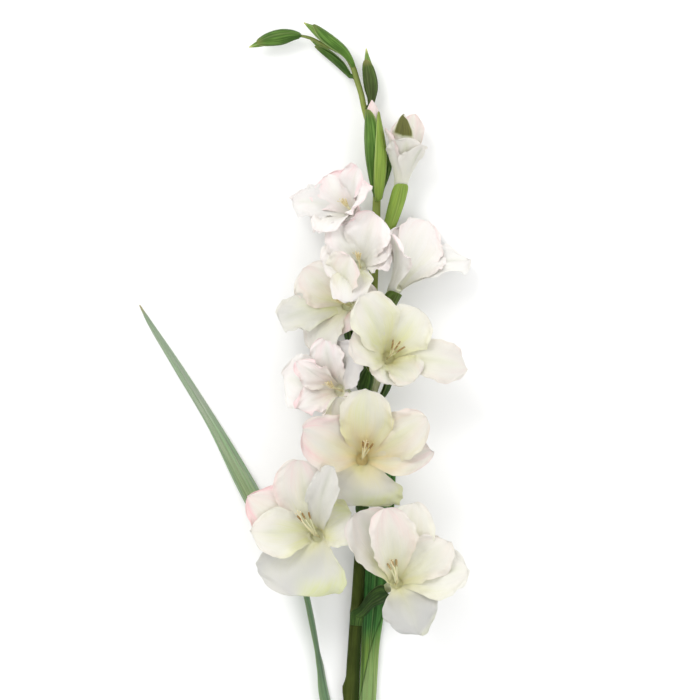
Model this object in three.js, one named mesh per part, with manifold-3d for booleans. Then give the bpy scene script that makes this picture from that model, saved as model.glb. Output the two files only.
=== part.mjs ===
// Cut gladiolus stem lying on a level surface, millimetres, +Z up.
// The spike runs along +Y, the cut end is at the low-Y end, and the open
// florets face up. Every perianth, stamen group, bract, leaf, bud and the
// stem itself is one closed body with a small air gap to its neighbours.
import * as THREE from 'three';
import Module from 'manifold-3d';

const wasm = await Module();
wasm.setup();
const { Manifold, Mesh } = wasm;

// ---------------------------------------------------------------- constants
const GAP = 0.4;             // air gap kept between neighbouring bodies
const Z_MIN = 0.55;          // lowest mid-surface height above the table
const TEPAL_T = 1.15;        // thickness of a tepal along its midrib
const R_IN = 5.2;            // throat radius where inner tepals start
const R_OUT = 6.2;           // throat radius where outer tepals start
const TUBE_R0 = 1.9;         // perianth tube radius at the stem
const TUBE_R1 = 6.9;         // perianth tube radius at the throat
const BRACT_T = 0.9;         // bract thickness
const U_STEPS = [0, 0.17, 0.36, 0.56, 0.75, 0.9, 1];
const V_STEPS = [-1, -0.5, 0, 0.5, 1];

// stem centreline: x, y, z, radius
const STEM = [
  [34.68, -399.32, 6.25, 6.3],
  [36.38, -348.32, 7.6, 6.25],
  [37.66, -305.82, 8.1, 6.2],
  [39.78, -263.32, 8.4, 6.1],
  [41.48, -178.32, 8.9, 6],
  [44.03, -127.32, 9.7, 5.6],
  [47.43, -76.32, 10.5, 5.2],
  [50.83, -8.32, 11.5, 4.9],
  [54.23, 59.68, 12, 4.6],
  [57.63, 127.68, 12.5, 4.3],
  [60.18, 187.18, 13, 4],
  [62.3, 238.18, 13, 3.5],
  [62.73, 263.68, 13, 3.2],
  [61.03, 289.18, 13, 3],
  [56.36, 310.43, 13, 2.7],
  [52.27, 324.88, 13, 2.5],
  [49.3, 338.48, 13, 2.5],
  [45.73, 350.38, 13, 2.5],
  [41.91, 362.28, 13, 2.4],
  [35.53, 371.63, 13, 2],
  [27.03, 376.31, 12.5, 1.6],
  [15.98, 381.4, 12.5, 1.5],
  [6.63, 386.08, 12.5, 1.4],
  [-2.29, 388.38, 12.5, 1.2],
];

// open florets: throat centre, facing axis, place on the stem, six tepals.
// tepal: azimuth, length, width, start and end opening angle (deg), cup,
// sideways bend, twist, ruffle height, ruffle phase, widest place, tip power
const FLORETS = {
  9: {
    T: [78.9, -78.98, 38],
    axis: [0.1668, 0.2293, 0.959],
    S: -103.52,
    bract: [0.92, 0.55, -45, 4, 0.6, -45, 4, 1.68],
    tepals: [
      [128, 76.5, 50, 26, 82, 0.006, 0, 0, 2, 0.3, 0.58, 0.8],
      [111, 83.5, 42, 16, 60, 0.014, 0, 0, 2, 1.3, 0.6, 1.1],
      [83, 72.5, 46, 26, 80, 0.01, 0, 0, 2.5, 2.3, 0.62, 1],
      [39, 61, 42, 20, 72, 0.01, 0, 0, 2.5, 3, 0.62, 1],
      [9, 63.5, 46, 24, 84, 0.006, 0, 0, 2.5, 4, 0.62, 0.9],
      [289, 51.5, 48, 34, 100, -0.002, 0, 0, 2.5, 5, 0.52, 1.15],
    ],
    stamen: {
      len: 26,
      out: 15,
      lean: 122,
      fan: 16,
    },
  },
  8: {
    T: [12.56, -39.01, 38],
    axis: [-0.2947, 0.1263, 0.9472],
    S: -43.17,
    bract: [0.9, 0.55],
    tepals: [
      [90, 77, 52, 20, 72, 0.01, 0, 0, 2, 0.3, 0.62, 0.9],
      [147, 71, 48, 24, 80, 0.008, 0, 0, 2, 1.3, 0.58, 1.5],
      [179, 62.5, 44, 16, 64, 0.012, 0, 0, 2, 2.3, 0.58, 1.5],
      [257, 55, 82, 34, 104, -0.002, 0, 0, 2, 3, 0.62, 0.6],
      [60, 83.5, 28, 16, 70, 0.018, 0, 0, 1, 4, 0.6, 0.9],
      [22, 45, 46, 24, 84, 0.01, 0, 0, 2, 5, 0.6, 0.9],
    ],
    stamen: {
      len: 27,
      out: 17,
      lean: 106,
      fan: 16,
    },
  },
  7: {
    T: [49.96, 26.69, 46],
    axis: [0.0499, 0, 0.9988],
    S: -12.57,
    bract: [0.85, 0.5],
    tepals: [
      [113, 65.5, 44, 26, 84, 0.008, 0, 0, 2, 5.3, 0.6, 1.1],
      [88, 80.5, 46, 21, 66, 0.012, 0, 0, 2, 0.3, 0.62, 1],
      [35, 79.5, 42, 20, 76, 0.01, 0, 0, 2.5, 1.3, 0.62, 1],
      [9, 69.5, 36, 20, 82, 0.016, 0, 0, 2.5, 2.3, 0.6, 1.1],
      [260, 38.5, 80, 34, 104, -0.004, 0, 0, 1.6, 3, 0.64, 0.7],
      [154, 73, 50, 20, 78, 0.012, 0, 0, 3, 4, 0.6, 1.1],
    ],
    stamen: {
      len: 25,
      out: 14,
      lean: 76,
      fan: 16,
    },
  },
  6: {
    T: [31.27, 85.14, 36],
    axis: [-0.5289, 0.0635, 0.8463],
    S: 42.68,
    bract: [0.85, 0.5],
    tepals: [
      [86, 46.5, 38, 22, 80, 0.01, 0, 0, 2, 0.3, 0.6, 1],
      [132, 46, 26, 14, 58, 0.04, 0, 0, 2, 1.3, 0.55, 1.5],
      [166, 46.5, 50, 26, 88, 0.006, 0, 0, 2, 2.3, 0.62, 0.9],
      [213, 38, 30, 18, 70, 0.035, 0, 0, 2, 3, 0.55, 1.4],
      [301, 43.5, 38, 26, 82, 0.01, 0, 0, 2, 4, 0.6, 1],
      [50, 48.5, 44, 26, 92, 0.006, 0, 0, 2, 5, 0.58, 0.9],
    ],
    stamen: {
      len: 13,
      out: 4,
      lean: 110,
      fan: 16,
    },
  },
  5: {
    T: [72.02, 112.39, 46],
    axis: [0.2612, 0.2009, 0.9442],
    S: 66.48,
    bract: [0.9, 0.86, -70, 5.5, 5, -110, 13, 1.48, 4],
    tepals: [
      [133, 72, 46, 18, 72, 0.01, 0, 0, 1.6, 0.3, 0.62, 0.9],
      [63, 51, 44, 18, 76, 0.01, 0, 0, 2, 1.3, 0.62, 0.9],
      [351, 66, 38, 28, 98, 0.006, 0, 0, 2, 2.3, 0.62, 1],
      [302, 39, 34, 16, 60, 0.018, 0, 0, 2, 3, 0.6, 1],
      [257, 35.5, 42, 16, 66, 0.012, 0, 0, 1.5, 4, 0.6, 1],
      [170, 54.5, 44, 18, 74, 0.012, 0, 0, 1.5, 5, 0.6, 1],
    ],
    stamen: {
      len: 15,
      out: 7,
      lean: 64,
      fan: 30,
    },
  },
  4: {
    T: [79.42, 173.74, 30],
    axis: [0.5048, 0.7876, 0.3534],
    S: 131.93,
    bract: [0.97, 0.55, -30, 2.4, 0.6, -30, 2],
    tepals: [
      [214, 59, 38, 14, 56, 0.012, 0, 0, 2, 0.3, 0.6, 1],
      [86, 64, 44, 14, 56, 0.012, 0, 0, 2, 1.3, 0.62, 0.9],
      [30, 66.5, 42, 18, 76, 0.008, 0, 0, 2, 2.3, 0.62, 0.9],
      [52, 47, 40, 14, 50, 0.016, 0, 0, 2, 3, 0.6, 1.2],
      [84, 46.5, 38, 16, 66, 0.01, 0, 0, 2, 4, 0.6, 1],
      [125, 48, 38, 14, 58, 0.012, 0, 0, 2, 5, 0.6, 1],
    ],
    stamen: {
      len: 14,
      out: 3,
      lean: 80,
      fan: 16,
    },
  },
  3: {
    T: [38.08, 157.47, 36],
    axis: [-0.5731, 0.1042, 0.8128],
    S: 103.88,
    bract: [0.9, 0.5, -60, 3.5, 0.6, -60, 8],
    tepals: [
      [46, 62, 40, 16, 70, 0.012, 0, 0, 2, 0.3, 0.6, 1],
      [128, 48.5, 44, 16, 72, 0.01, 0, 0, 2, 1.3, 0.62, 0.9],
      [196, 58, 36, 20, 76, 0.016, 0, 15, 2, 2.3, 0.66, 0.5],
      [244, 47, 42, 26, 92, 0, 0, 0, 2, 3, 0.62, 0.9],
      [283, 30, 34, 22, 80, 0.008, 0, 0, 2, 4, 0.6, 1],
      [0, 34, 36, 40, 104, 0.008, 0, 0, 2, 5, 0.6, 1],
    ],
    stamen: {
      len: 12,
      out: 3,
      lean: 110,
      fan: 16,
    },
  },
  2: {
    T: [48.27, 190.5, 44],
    axis: [-0.128, 0.32, 0.9387],
    S: 161.68,
    bract: [0.85, 0.5],
    tepals: [
      [62, 48, 42, 18, 68, 0.012, 0, 0, 2, 0.3, 0.62, 0.9],
      [31, 38, 34, 20, 72, 0.01, 0, 0, 2, 1.3, 0.6, 1],
      [4, 30, 28, 20, 74, 0.012, 0, 0, 2, 2.3, 0.6, 1],
      [262, 53, 36, 20, 80, 0.004, 0, 0, 2, 3, 0.62, 1],
      [186, 34, 38, 18, 74, 0.01, 0, 0, 2, 4, 0.6, 1],
      [119, 42, 38, 20, 72, 0.01, 0, 0, 2, 5, 0.6, 1],
    ],
    stamen: {
      len: 13,
      out: 4,
      lean: 85,
      fan: 16,
    },
  },
  1: {
    T: [43.19, 235.11, 30],
    axis: [-0.5547, 0.4992, 0.6656],
    S: 204.18,
    bract: [0.85, 0.5],
    tepals: [
      [27, 44.5, 38, 12, 58, 0.014, 0, 0, 2, 0.3, 0.6, 1],
      [113, 39, 44, 14, 64, 0.012, 0, 0, 2, 1.3, 0.62, 0.9],
      [166, 51.5, 38, 18, 76, 0.01, 0, 0, 2, 2.3, 0.6, 1.2],
      [250, 45, 38, 18, 74, 0.008, 0, 0, 2, 3, 0.6, 1],
      [278, 30, 34, 18, 70, 0.01, 0, 0, 2, 4, 0.6, 1],
      [332, 55.5, 32, 20, 70, 0.014, 0, 0, 2, 5, 0.6, 1],
    ],
    stamen: {
      len: 13,
      out: 4,
      lean: 100,
      fan: 16,
    },
  },
  10: {
    T: [83.33, 264.34, 24],
    axis: [0.1321, 0.9657, 0.2236],
    S: 202.48,
    bract: [0.98, 0.6, -48, 1.9],
    tepals: [
      [268, 41.5, 36, 10, 22, 0.03, 0, 0, 1, 0.3, 0.55, 1],
      [193, 46, 28, 12, 24, 0.03, 0, 0, 1, 1.3, 0.55, 1.1],
      [318, 37, 32, 12, 28, 0.03, 0, 0, 1, 2.3, 0.58, 1],
      [248, 60, 22, 6, 13, 0.045, 0, 0, 0.6, 3, 0.5, 1.4],
      [78, 56.5, 28, 8, 18, 0.03, 0, 0, 1, 4, 0.55, 1.1],
      [120, 50, 24, 8, 14, 0.03, 0, 0, 1, 5, 0.55, 1.1],
    ],
  },
};

// blades: x, y, z, half width, roll of the face (deg), cross curvature
const LEAVES = {
  leaf_left: [
    [29.75, -335.57, 7.9, 10, 90, 0.139],
    [31.28, -297.32, 8.1, 10, 90, 0.139],
    [32.3, -263.32, 8.3, 9.5, 88, 0.135],
    [28.31, -229.32, 7.8, 8, 70, 0.11],
    [23.63, -202.12, 7, 6.4, 45, 0.08],
    [17.68, -180.02, 6.2, 5.6, 38, 0.06],
    [13.43, -154.52, 6.6, 5.8, 60, 0.055],
    [9.61, -131.57, 6.8, 6.2, 68, 0.05],
    [-0.17, -86.52, 7.2, 6.8, 68, 0.04],
    [-14.62, -61.87, 5.6, 7.4, 40, 0.03],
    [-33.32, -27.02, 2.4, 8, 10, 0.03],
    [-51.17, 6.13, 1.2, 7.9, 0, 0.03],
    [-77.94, 55.43, 0.9, 5.1, 0, 0.03],
    [-109.4, 106.43, 0.8, 3.7, 0, 0.03],
    [-131.07, 140.43, 0.8, 2.2, 0, 0.02],
    [-141.27, 158.28, 0.8, 0.3, 0, 0],
  ],
  leaf_right: [
    [45.39, -352.57, 7.7, 9.8, -90, 0.139],
    [46.58, -314.32, 8, 10, -90, 0.139],
    [47.43, -280.32, 8.3, 10, -88, 0.137],
    [49.55, -246.32, 7.6, 9.2, -66, 0.11],
    [52.53, -212.32, 5.6, 8.4, -32, 0.07],
    [55.08, -178.32, 3.6, 7.5, -8, 0.045],
    [57.21, -135.82, 2.8, 7.9, -3, 0.035],
    [59.84, -101.82, 2.4, 9.8, 0, 0.035],
    [62.9, -59.32, 1.8, 10.4, 0, 0.03],
    [70.38, -12.57, 1.1, 7.6, 0, 0.03],
    [73.36, 17.18, 0.9, 6, 0, 0.03],
    [78.03, 38.43, 0.8, 3.4, 0, 0.02],
    [81.43, 52.88, 0.8, 0.3, 0, 0],
  ],
};

// closed and half-closed buds: centreline x, y, z, radius
const BUDS = [
  {
    name: 'bud_1_petals',
    look: 'tepal',
    rows: [
      [63.16, 250.08, 20.2, 1.5],
      [62.3, 263.68, 23, 4.4],
      [61.45, 282.38, 25, 6.6],
      [60.18, 299.38, 25.5, 6.4],
      [59.33, 314.68, 25, 5.4],
      [58.91, 324.88, 24.5, 4.4],
      [58.48, 332.53, 24, 0.5],
    ],
    bracts: [
      {
        name: 'bud_1_outer_bract',
        phi: 60,
        wide: 2.2,
        from: 0.02,
        to: 0.78,
        puff: 1,
        lift: 1.3,
        knee: 0.02,
        point: 0.5,
        bright: 1,
        dark: 0.05,
      },
      {
        name: 'bud_1_inner_bract',
        phi: -62,
        wide: 1.8,
        from: 0.08,
        to: 0.82,
        puff: 0.4,
        knee: 0.6,
        point: 2.2,
        dark: 0.55,
        bright: 0,
      },
    ],
  },
  {
    name: 'bud_2_core',
    look: 'bud',
    rows: [
      [57.29, 327.43, 13.6, 0.8],
      [58.31, 335.08, 13.6, 2.3],
      [57.97, 342.73, 13.6, 4.1],
      [56.95, 351.23, 13.6, 4.5],
      [55.59, 360.58, 13.6, 3.8],
      [54.57, 368.23, 13.6, 2.4],
      [53.64, 377.58, 13.6, 0.4],
    ],
    bracts: [
      {
        name: 'bud_2_bract',
        phi: -20,
        wide: 1.9,
        from: 0.05,
        to: 0.82,
        puff: 0.3,
        dark: 1,
        dry: 0.6,
        tan: 0.09,
      },
    ],
  },
  {
    name: 'bud_3_core',
    look: 'bud',
    rows: [
      [40.46, 353.78, 8.8, 0.8],
      [36.89, 359.05, 8, 1.8],
      [31.96, 365, 7.2, 2.6],
      [24.65, 371.46, 7, 2.9],
      [17, 377.41, 7, 2.6],
      [10.88, 382, 7.2, 1.7],
      [5.78, 385.57, 7.6, 0.4],
    ],
    bracts: [
      {
        name: 'bud_3_bract',
        phi: -60,
        wide: 1.7,
        from: 0.04,
        to: 0.85,
        puff: 0.3,
        dark: 0.78,
      },
    ],
  },
  {
    name: 'bud_4_core',
    look: 'bud',
    rows: [
      [41.91, 363.98, 16.6, 0.9],
      [34.68, 373.33, 18.2, 2.8],
      [25.76, 380.56, 18.6, 4.1],
      [16.41, 387.36, 18.6, 4.2],
      [7.91, 394.15, 18, 2.8],
      [0.26, 399.25, 17.4, 0.4],
    ],
    bracts: [
      {
        name: 'bud_4_bract',
        phi: 50,
        wide: 1.8,
        from: 0.04,
        to: 0.85,
        puff: 0.3,
        dark: 0.2,
      },
    ],
  },
  {
    name: 'bud_5_core',
    look: 'bud',
    rows: [
      [-2.89, 388.46, 12.6, 1.1],
      [-10.37, 388.63, 13, 3.4],
      [-19.72, 387.1, 13.2, 4.9],
      [-29.92, 384.72, 13.2, 4.4],
      [-38.42, 381.4, 13, 2.9],
      [-46.92, 378.43, 12.8, 0.4],
    ],
    bracts: [
      {
        name: 'bud_5_bract',
        phi: 20,
        wide: 2,
        from: 0.04,
        to: 0.85,
        puff: 0.3,
        dark: 0.62,
      },
    ],
  },
  {
    name: 'side_bract',
    look: 'bract',
    rows: [
      [66.89, 249.23, 12.4, 0.6],
      [68.51, 257.73, 12, 1],
      [71.23, 267.08, 12, 1.9],
      [73.19, 278.13, 12, 2.6],
      [73.1, 291.73, 12, 0.4],
    ],
    bracts: [],
  },
];

const LOOK = {
  stem: { color: 0x5f7a34, roughness: 0.55 },
  leaf: { color: 0x2f7a35, roughness: 0.5 },
  tepal: { color: 0xf4f0e2, roughness: 0.6 },
  bract: { color: 0x4f8a3a, roughness: 0.55 },
  bud: { color: 0x6a9a46, roughness: 0.55 },
  stamen: { color: 0xc79a4a, roughness: 0.6 },
};

// ------------------------------------------------------------- vector maths
const RAD = Math.PI / 180;
const add = (a, b) => [a[0] + b[0], a[1] + b[1], a[2] + b[2]];
const sub = (a, b) => [a[0] - b[0], a[1] - b[1], a[2] - b[2]];
const mul = (a, k) => [a[0] * k, a[1] * k, a[2] * k];
const dot = (a, b) => a[0] * b[0] + a[1] * b[1] + a[2] * b[2];
const cross = (a, b) => [a[1] * b[2] - a[2] * b[1], a[2] * b[0] - a[0] * b[2], a[0] * b[1] - a[1] * b[0]];
const len = (a) => Math.sqrt(dot(a, a));
const unit = (a) => mul(a, 1 / (len(a) || 1));
const smooth = (x) => { const t = Math.min(1, Math.max(0, x)); return t * t * (3 - 2 * t); };
const mix = (a, b, t) => a + (b - a) * t;

function catmull(pts, n) {
  const m = pts.length, out = [];
  for (let k = 0; k <= n; k++) {
    const t = (k / n) * (m - 1), i = Math.min(Math.floor(t), m - 2), f = t - i;
    const p0 = pts[Math.max(i - 1, 0)], p1 = pts[i], p2 = pts[i + 1], p3 = pts[Math.min(i + 2, m - 1)];
    out.push(p1.map((_, c) => 0.5 * (2 * p1[c] + (p2[c] - p0[c]) * f
      + (2 * p0[c] - 5 * p1[c] + 4 * p2[c] - p3[c]) * f * f
      + (3 * p1[c] - p0[c] - 3 * p2[c] + p3[c]) * f * f * f)));
  }
  return out;
}

function bezier(p, t) {
  const s = 1 - t, w = [s * s * s, 3 * s * s * t, 3 * s * t * t, t * t * t];
  return [0, 1, 2].map((c) => w[0] * p[0][c] + w[1] * p[1][c] + w[2] * p[2][c] + w[3] * p[3][c]);
}

// sideways frames carried along a line without spinning
function frames(line, side) {
  const out = [];
  let e1 = side;
  for (let i = 0; i < line.length; i++) {
    const a = line[Math.max(i - 1, 0)], b = line[Math.min(i + 1, line.length - 1)];
    const t = unit(sub(b, a));
    e1 = unit(sub(e1, mul(t, dot(e1, t))));
    out.push({ c: line[i], t, e1, e2: cross(t, e1) });
  }
  return out;
}

// ------------------------------------------------------------ closed bodies
function solid(points, tris) {
  const mesh = new Mesh({ numProp: 3, vertProperties: new Float32Array(points.flat()), triVerts: new Uint32Array(tris.flat()) });
  mesh.merge();
  let m = new Manifold(mesh);
  if (m.volume() < 0) {
    const flipped = tris.map((t) => [t[0], t[2], t[1]]);
    m = new Manifold(new Mesh({ numProp: 3, vertProperties: new Float32Array(points.flat()), triVerts: new Uint32Array(flipped.flat()) }));
  }
  return m;
}

// closed skin over equal rings of points, with flat or pointed ends. The two
// faces of a thin sheet are cut along the same diagonals, so they never cross
function loft(rings, startPoint, endPoint, thin = false) {
  const pts = [], tris = [], n = rings[0].length;
  rings.forEach((r) => r.forEach((p) => pts.push(p)));
  for (let i = 0; i < rings.length - 1; i++) {
    for (let j = 0; j < n; j++) {
      const a = i * n + j, b = i * n + ((j + 1) % n), c = a + n, d = b + n;
      if (thin && j >= n / 2) tris.push([a, b, c], [b, d, c]);
      else tris.push([a, b, d], [a, d, c]);
    }
  }
  const centre = (r) => mul(r.reduce((s, p) => add(s, p), [0, 0, 0]), 1 / r.length);
  const cap = (o, point, flip) => {
    const out = [];
    if (thin && !point) {      // a curved slot is closed by a strip between its two faces
      out.push([1, 0, n - 1], [n / 2, n / 2 - 1, n / 2 + 1]);
      for (let j = 1; j < n / 2 - 1; j++) out.push([j + 1, j, n - j], [j + 1, n - j, n - j - 1]);
    } else {
      const s = pts.length - o;
      pts.push(point || centre(rings[o / n]));
      for (let j = 0; j < n; j++) out.push([s, (j + 1) % n, j]);
    }
    out.forEach((q) => tris.push((flip ? [q[0], q[2], q[1]] : q).map((i) => i + o)));
  };
  cap(0, startPoint, false);
  cap((rings.length - 1) * n, endPoint, true);
  return solid(pts, tris);
}

// thin sheet from a grid of mid-surface points: thickest in the middle
// column, closed along both long edges, pointed at the far end
function sheet(grid, thick, grow = 0) {
  const nu = grid.length, nv = grid[0].length, rings = [];
  const normal = (i, j) => {
    const a = grid[Math.min(i + 1, nu - 1)][j], b = grid[Math.max(i - 1, 0)][j];
    const c = grid[i][Math.min(j + 1, nv - 1)], d = grid[i][Math.max(j - 1, 0)];
    return unit(cross(sub(a, b), sub(c, d)));
  };
  for (let i = 0; i < nu; i++) {
    const top = [], low = [];
    const back = i === 0 ? mul(unit(sub(grid[0][(nv - 1) / 2], grid[1][(nv - 1) / 2])), grow) : [0, 0, 0];
    for (let j = 0; j < nv; j++) {
      const v = -1 + (2 * j) / (nv - 1), n = normal(i, j), h = (thick(i) * (1 - 0.55 * v * v)) / 2 + grow;
      const p = add(grid[i][j], back);
      if (j === 0 || j === nv - 1) { top.push(add(p, mul(unit(sub(grid[i][j], grid[i][j ? j - 1 : 1])), 1.4 * grow))); continue; }
      top.push(add(p, mul(n, h)));
      low.push(sub(p, mul(n, h)));
    }
    rings.push([...top, ...low.reverse()].map((p) => [p[0], p[1], Math.max(p[2], 0)]));
  }
  return rings;
}

// ------------------------------------------------------------------- tepals
function halfWidth(u, um, e) {
  if (u < um) return 0.3 + 0.7 * smooth(u / um);
  const q = (u - um) / (1 - um);
  return Math.pow(Math.max(1 - q * q, 0), 0.5 * e);
}

function tepalPoint(f, ax, p, u, v, inner) {
  const [phi, L, W, a0, a1, cup, bend, twist, ruff, ph, um, e] = p;
  const A0 = a0 * RAD, dA = (a1 - a0) * RAD, A = A0 + dA * u;
  const r = (inner ? R_IN : R_OUT) + (L * (Math.cos(A0) - Math.cos(A))) / dA;
  const w = (L * (Math.sin(A) - Math.sin(A0))) / dA;
  const fi = (phi + bend * u * u) * RAD;
  const er = add(mul(ax.ex, Math.cos(fi)), mul(ax.ey, Math.sin(fi)));
  const et = add(mul(ax.ex, -Math.sin(fi)), mul(ax.ey, Math.cos(fi)));
  const nn = add(mul(er, -Math.cos(A)), mul(ax.a, Math.sin(A)));
  const tw = twist * u * RAD;
  const t2 = add(mul(et, Math.cos(tw)), mul(nn, Math.sin(tw)));
  const n2 = add(mul(et, -Math.sin(tw)), mul(nn, Math.cos(tw)));
  const s = (W / 2) * halfWidth(u, um, e) * v;
  const kap = (0.9 * (1 - u)) / Math.max(r, 4) + cup * u;
  const xl = Math.abs(kap) > 1e-6 ? Math.sin(kap * s) / kap : s;
  const nd = Math.abs(kap) > 1e-6 ? (1 - Math.cos(kap * s)) / kap : 0;
  const rf = ruff * v * v * Math.pow(u, 1.5) * Math.sin(2 * Math.PI * (1.9 * u + 0.13 * Math.sign(v)) + ph + (v > 0 ? 1.7 : 0));
  const q = add(add(add(add(f.T, mul(er, r)), mul(ax.a, w)), mul(t2, xl)), mul(n2, nd + rf));
  return [q[0], q[1], Math.max(q[2], Z_MIN)];
}

function axes(f) {
  const a = unit(f.axis), X = [1, 0, 0];
  const ex = unit(sub(X, mul(a, dot(X, a))));
  return { a, ex, ey: cross(a, ex) };
}

function tepal(f, k, grow = 0) {
  const ax = axes(f), p = f.tepals[k];
  const grid = U_STEPS.slice(0, -1).map((u) => V_STEPS.map((v) => tepalPoint(f, ax, p, u, v, k % 2 === 1)));
  const end = tepalPoint(f, ax, p, 1, 0, k % 2 === 1), last = grid[grid.length - 1][(V_STEPS.length - 1) / 2];
  const rings = sheet(grid, (i) => TEPAL_T * (1 - 0.35 * U_STEPS[i]), grow);
  return loft(rings, null, add(end, mul(unit(sub(end, last)), 1.5 * grow)), true);
}

// ------------------------------------------------------------ perianth tube
function stemAt(y) {
  const line = STEM_LINE;
  for (let i = 0; i < line.length - 1; i++) {
    if (y >= line[i][1] && y <= line[i + 1][1]) {
      const t = (y - line[i][1]) / (line[i + 1][1] - line[i][1]);
      return line[i].map((v, c) => mix(v, line[i + 1][c], t)).concat(i);
    }
  }
  return line[line.length - 1].concat(line.length - 2);
}

function tubeCurve(f) {
  const s = stemAt(f.S), c = [s[0], s[1], s[2]], i = s[4];
  const t = unit(sub(STEM_LINE[i + 1], STEM_LINE[i]).slice(0, 3));
  const a = axes(f).a;
  let d = sub(f.T, c); d = unit(sub(d, mul(t, dot(d, t))));
  const p0 = add(c, mul(d, s[3] + 3.7));
  const p3 = f.T, L = len(sub(p3, p0));
  const p1 = add(p0, add(mul(t, 0.34 * L), mul(d, 0.06 * L))), p2 = sub(p3, mul(a, 0.4 * L));
  return { pts: [p0, p1, p2, p3], side: d };
}

function tube(f, grow = 0) {
  const { pts, side } = tubeCurve(f), rings = [], n = 8;
  const T = [0, 0.2, 0.42, 0.64, 0.84, 1];
  const fr = frames(T.map((t) => bezier(pts, t)), side);
  fr.forEach((s, i) => {
    const r = mix(TUBE_R0, TUBE_R1, Math.pow(T[i], 1.6)) + grow;
    const c = i === 0 ? sub(s.c, mul(s.t, grow)) : i === T.length - 1 ? add(s.c, mul(s.t, grow)) : s.c;
    rings.push(Array.from({ length: n }, (_, j) => add(c, add(mul(s.e1, r * Math.cos((j * 2 * Math.PI) / n)), mul(s.e2, r * Math.sin((j * 2 * Math.PI) / n))))));
  });
  return loft(rings);
}

// corners of a body that fall on one another are drawn a little inwards, so
// that no two corners share a place
function separate(m) {
  let body = m;
  for (let round = 0; round < 4; round++) {
    const g = body.getMesh(), n = g.vertProperties.length / g.numProp, P = [];
    for (let i = 0; i < n; i++) P.push([0, 1, 2].map((c) => g.vertProperties[i * g.numProp + c]));
    const cell = new Map(), key = (p) => p.map((v) => Math.round(v / 0.006)).join(',');
    P.forEach((p, i) => {
      for (let dx = -1; dx <= 1; dx++) for (let dy = -1; dy <= 1; dy++) for (let dz = -1; dz <= 1; dz++) {
        const k = key([p[0] + dx * 0.006, p[1] + dy * 0.006, p[2] + dz * 0.006]);
        if (!cell.has(k)) cell.set(k, []);
        cell.get(k).push(i);
      }
    });
    const close = new Set();
    for (let i = 0; i < n; i++) for (const j of cell.get(key(P[i])) || []) if (j !== i && len(sub(P[i], P[j])) < 0.005) { close.add(i); close.add(j); }
    if (!close.size) return body;
    const sum = P.map(() => [0, 0, 0]), cnt = P.map(() => 0), T = g.triVerts;
    for (let t = 0; t < T.length; t += 3) for (let c = 0; c < 3; c++) {
      const a = T[t + c];
      for (const b of [T[t + ((c + 1) % 3)], T[t + ((c + 2) % 3)]]) { sum[a] = add(sum[a], P[b]); cnt[a]++; }
    }
    for (const i of close) { const d = sub(mul(sum[i], 1 / cnt[i]), P[i]); P[i] = add(P[i], mul(unit(d), Math.min(0.03, 0.4 * len(d)))); }
    body = new Manifold(new Mesh({ numProp: 3, vertProperties: new Float32Array(P.flat()), triVerts: new Uint32Array(T) })).simplify(0.005);
  }
  return body;
}

// how many faces of a body have its outside behind them, as thin slivers can
// after a cut: the skin seen from just behind a face should fill every direction
function insideOut(m) {
  const g = m.getMesh(), k = g.numProp, n = g.triVerts.length / 3, q = new Float64Array(n * 9);
  for (let i = 0; i < n * 3; i++) for (let c = 0; c < 3; c++) q[3 * i + c] = g.vertProperties[g.triVerts[i] * k + c];
  let bad = 0;
  for (let i = 0; i < n; i++) {
    const o = 9 * i, A = [q[o], q[o + 1], q[o + 2]], B = [q[o + 3], q[o + 4], q[o + 5]], C = [q[o + 6], q[o + 7], q[o + 8]];
    const p = sub(mul(add(add(A, B), C), 1 / 3), mul(unit(cross(sub(B, A), sub(C, A))), 1e-5));
    let sum = 0;
    for (let j = 0; j < n; j++) {
      const s = 9 * j;
      const ax = q[s] - p[0], ay = q[s + 1] - p[1], az = q[s + 2] - p[2];
      const bx = q[s + 3] - p[0], by = q[s + 4] - p[1], bz = q[s + 5] - p[2];
      const cx = q[s + 6] - p[0], cy = q[s + 7] - p[1], cz = q[s + 8] - p[2];
      const la = Math.sqrt(ax * ax + ay * ay + az * az), lb = Math.sqrt(bx * bx + by * by + bz * bz), lc = Math.sqrt(cx * cx + cy * cy + cz * cz);
      const num = ax * (by * cz - bz * cy) + ay * (bz * cx - bx * cz) + az * (bx * cy - by * cx);
      const den = la * lb * lc + (ax * bx + ay * by + az * bz) * lc + (bx * cx + by * cy + bz * cz) * la + (cx * ax + cy * ay + cz * az) * lb;
      sum += 2 * Math.atan2(num, den);
    }
    if (sum / (4 * Math.PI) < 0.5) bad++;
  }
  return bad;
}

function wholeOf(m) {
  const parts = m.decompose().filter((q) => q.volume() > 0).sort((a, b) => b.volume() - a.volume());
  return parts;
}

function perianth(f, grow = 0) {
  let m = tube(f, grow);
  for (let k = 0; k < f.tepals.length; k++) m = m.add(tepal(f, k, grow));
  return m.simplify(0.03);
}

// ------------------------------------------------------------------- bracts
function arcSheath(line, side, phi0, halfAngle, radius, thick, grow = 0, spread = () => 0) {
  const fr = frames(line, side), nv = 5, rings = [];
  fr.forEach((s, i) => {
    const t = i / (fr.length - 1), R = radius(t), H = halfAngle(t) + (grow / R), h = thick / 2 + grow;
    const off = spread(t), c0 = add(s.c, add(mul(s.e1, off * Math.cos(phi0)), mul(s.e2, off * Math.sin(phi0))));
    const at = (ang, rr) => add(c0, add(mul(s.e1, rr * Math.cos(phi0 + ang)), mul(s.e2, rr * Math.sin(phi0 + ang))));
    const out = [], inn = [];
    for (let j = 0; j < nv; j++) {
      const v = -1 + (2 * j) / (nv - 1), ang = H * v;
      if (j === 0 || j === nv - 1) { out.push(at(ang, R)); continue; }
      out.push(at(ang, R + h)); inn.push(at(ang, R - h));
    }
    rings.push([...out, ...inn.reverse()].map((p) => [p[0], p[1], Math.max(p[2], 0)]));
  });
  return rings;
}

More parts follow.
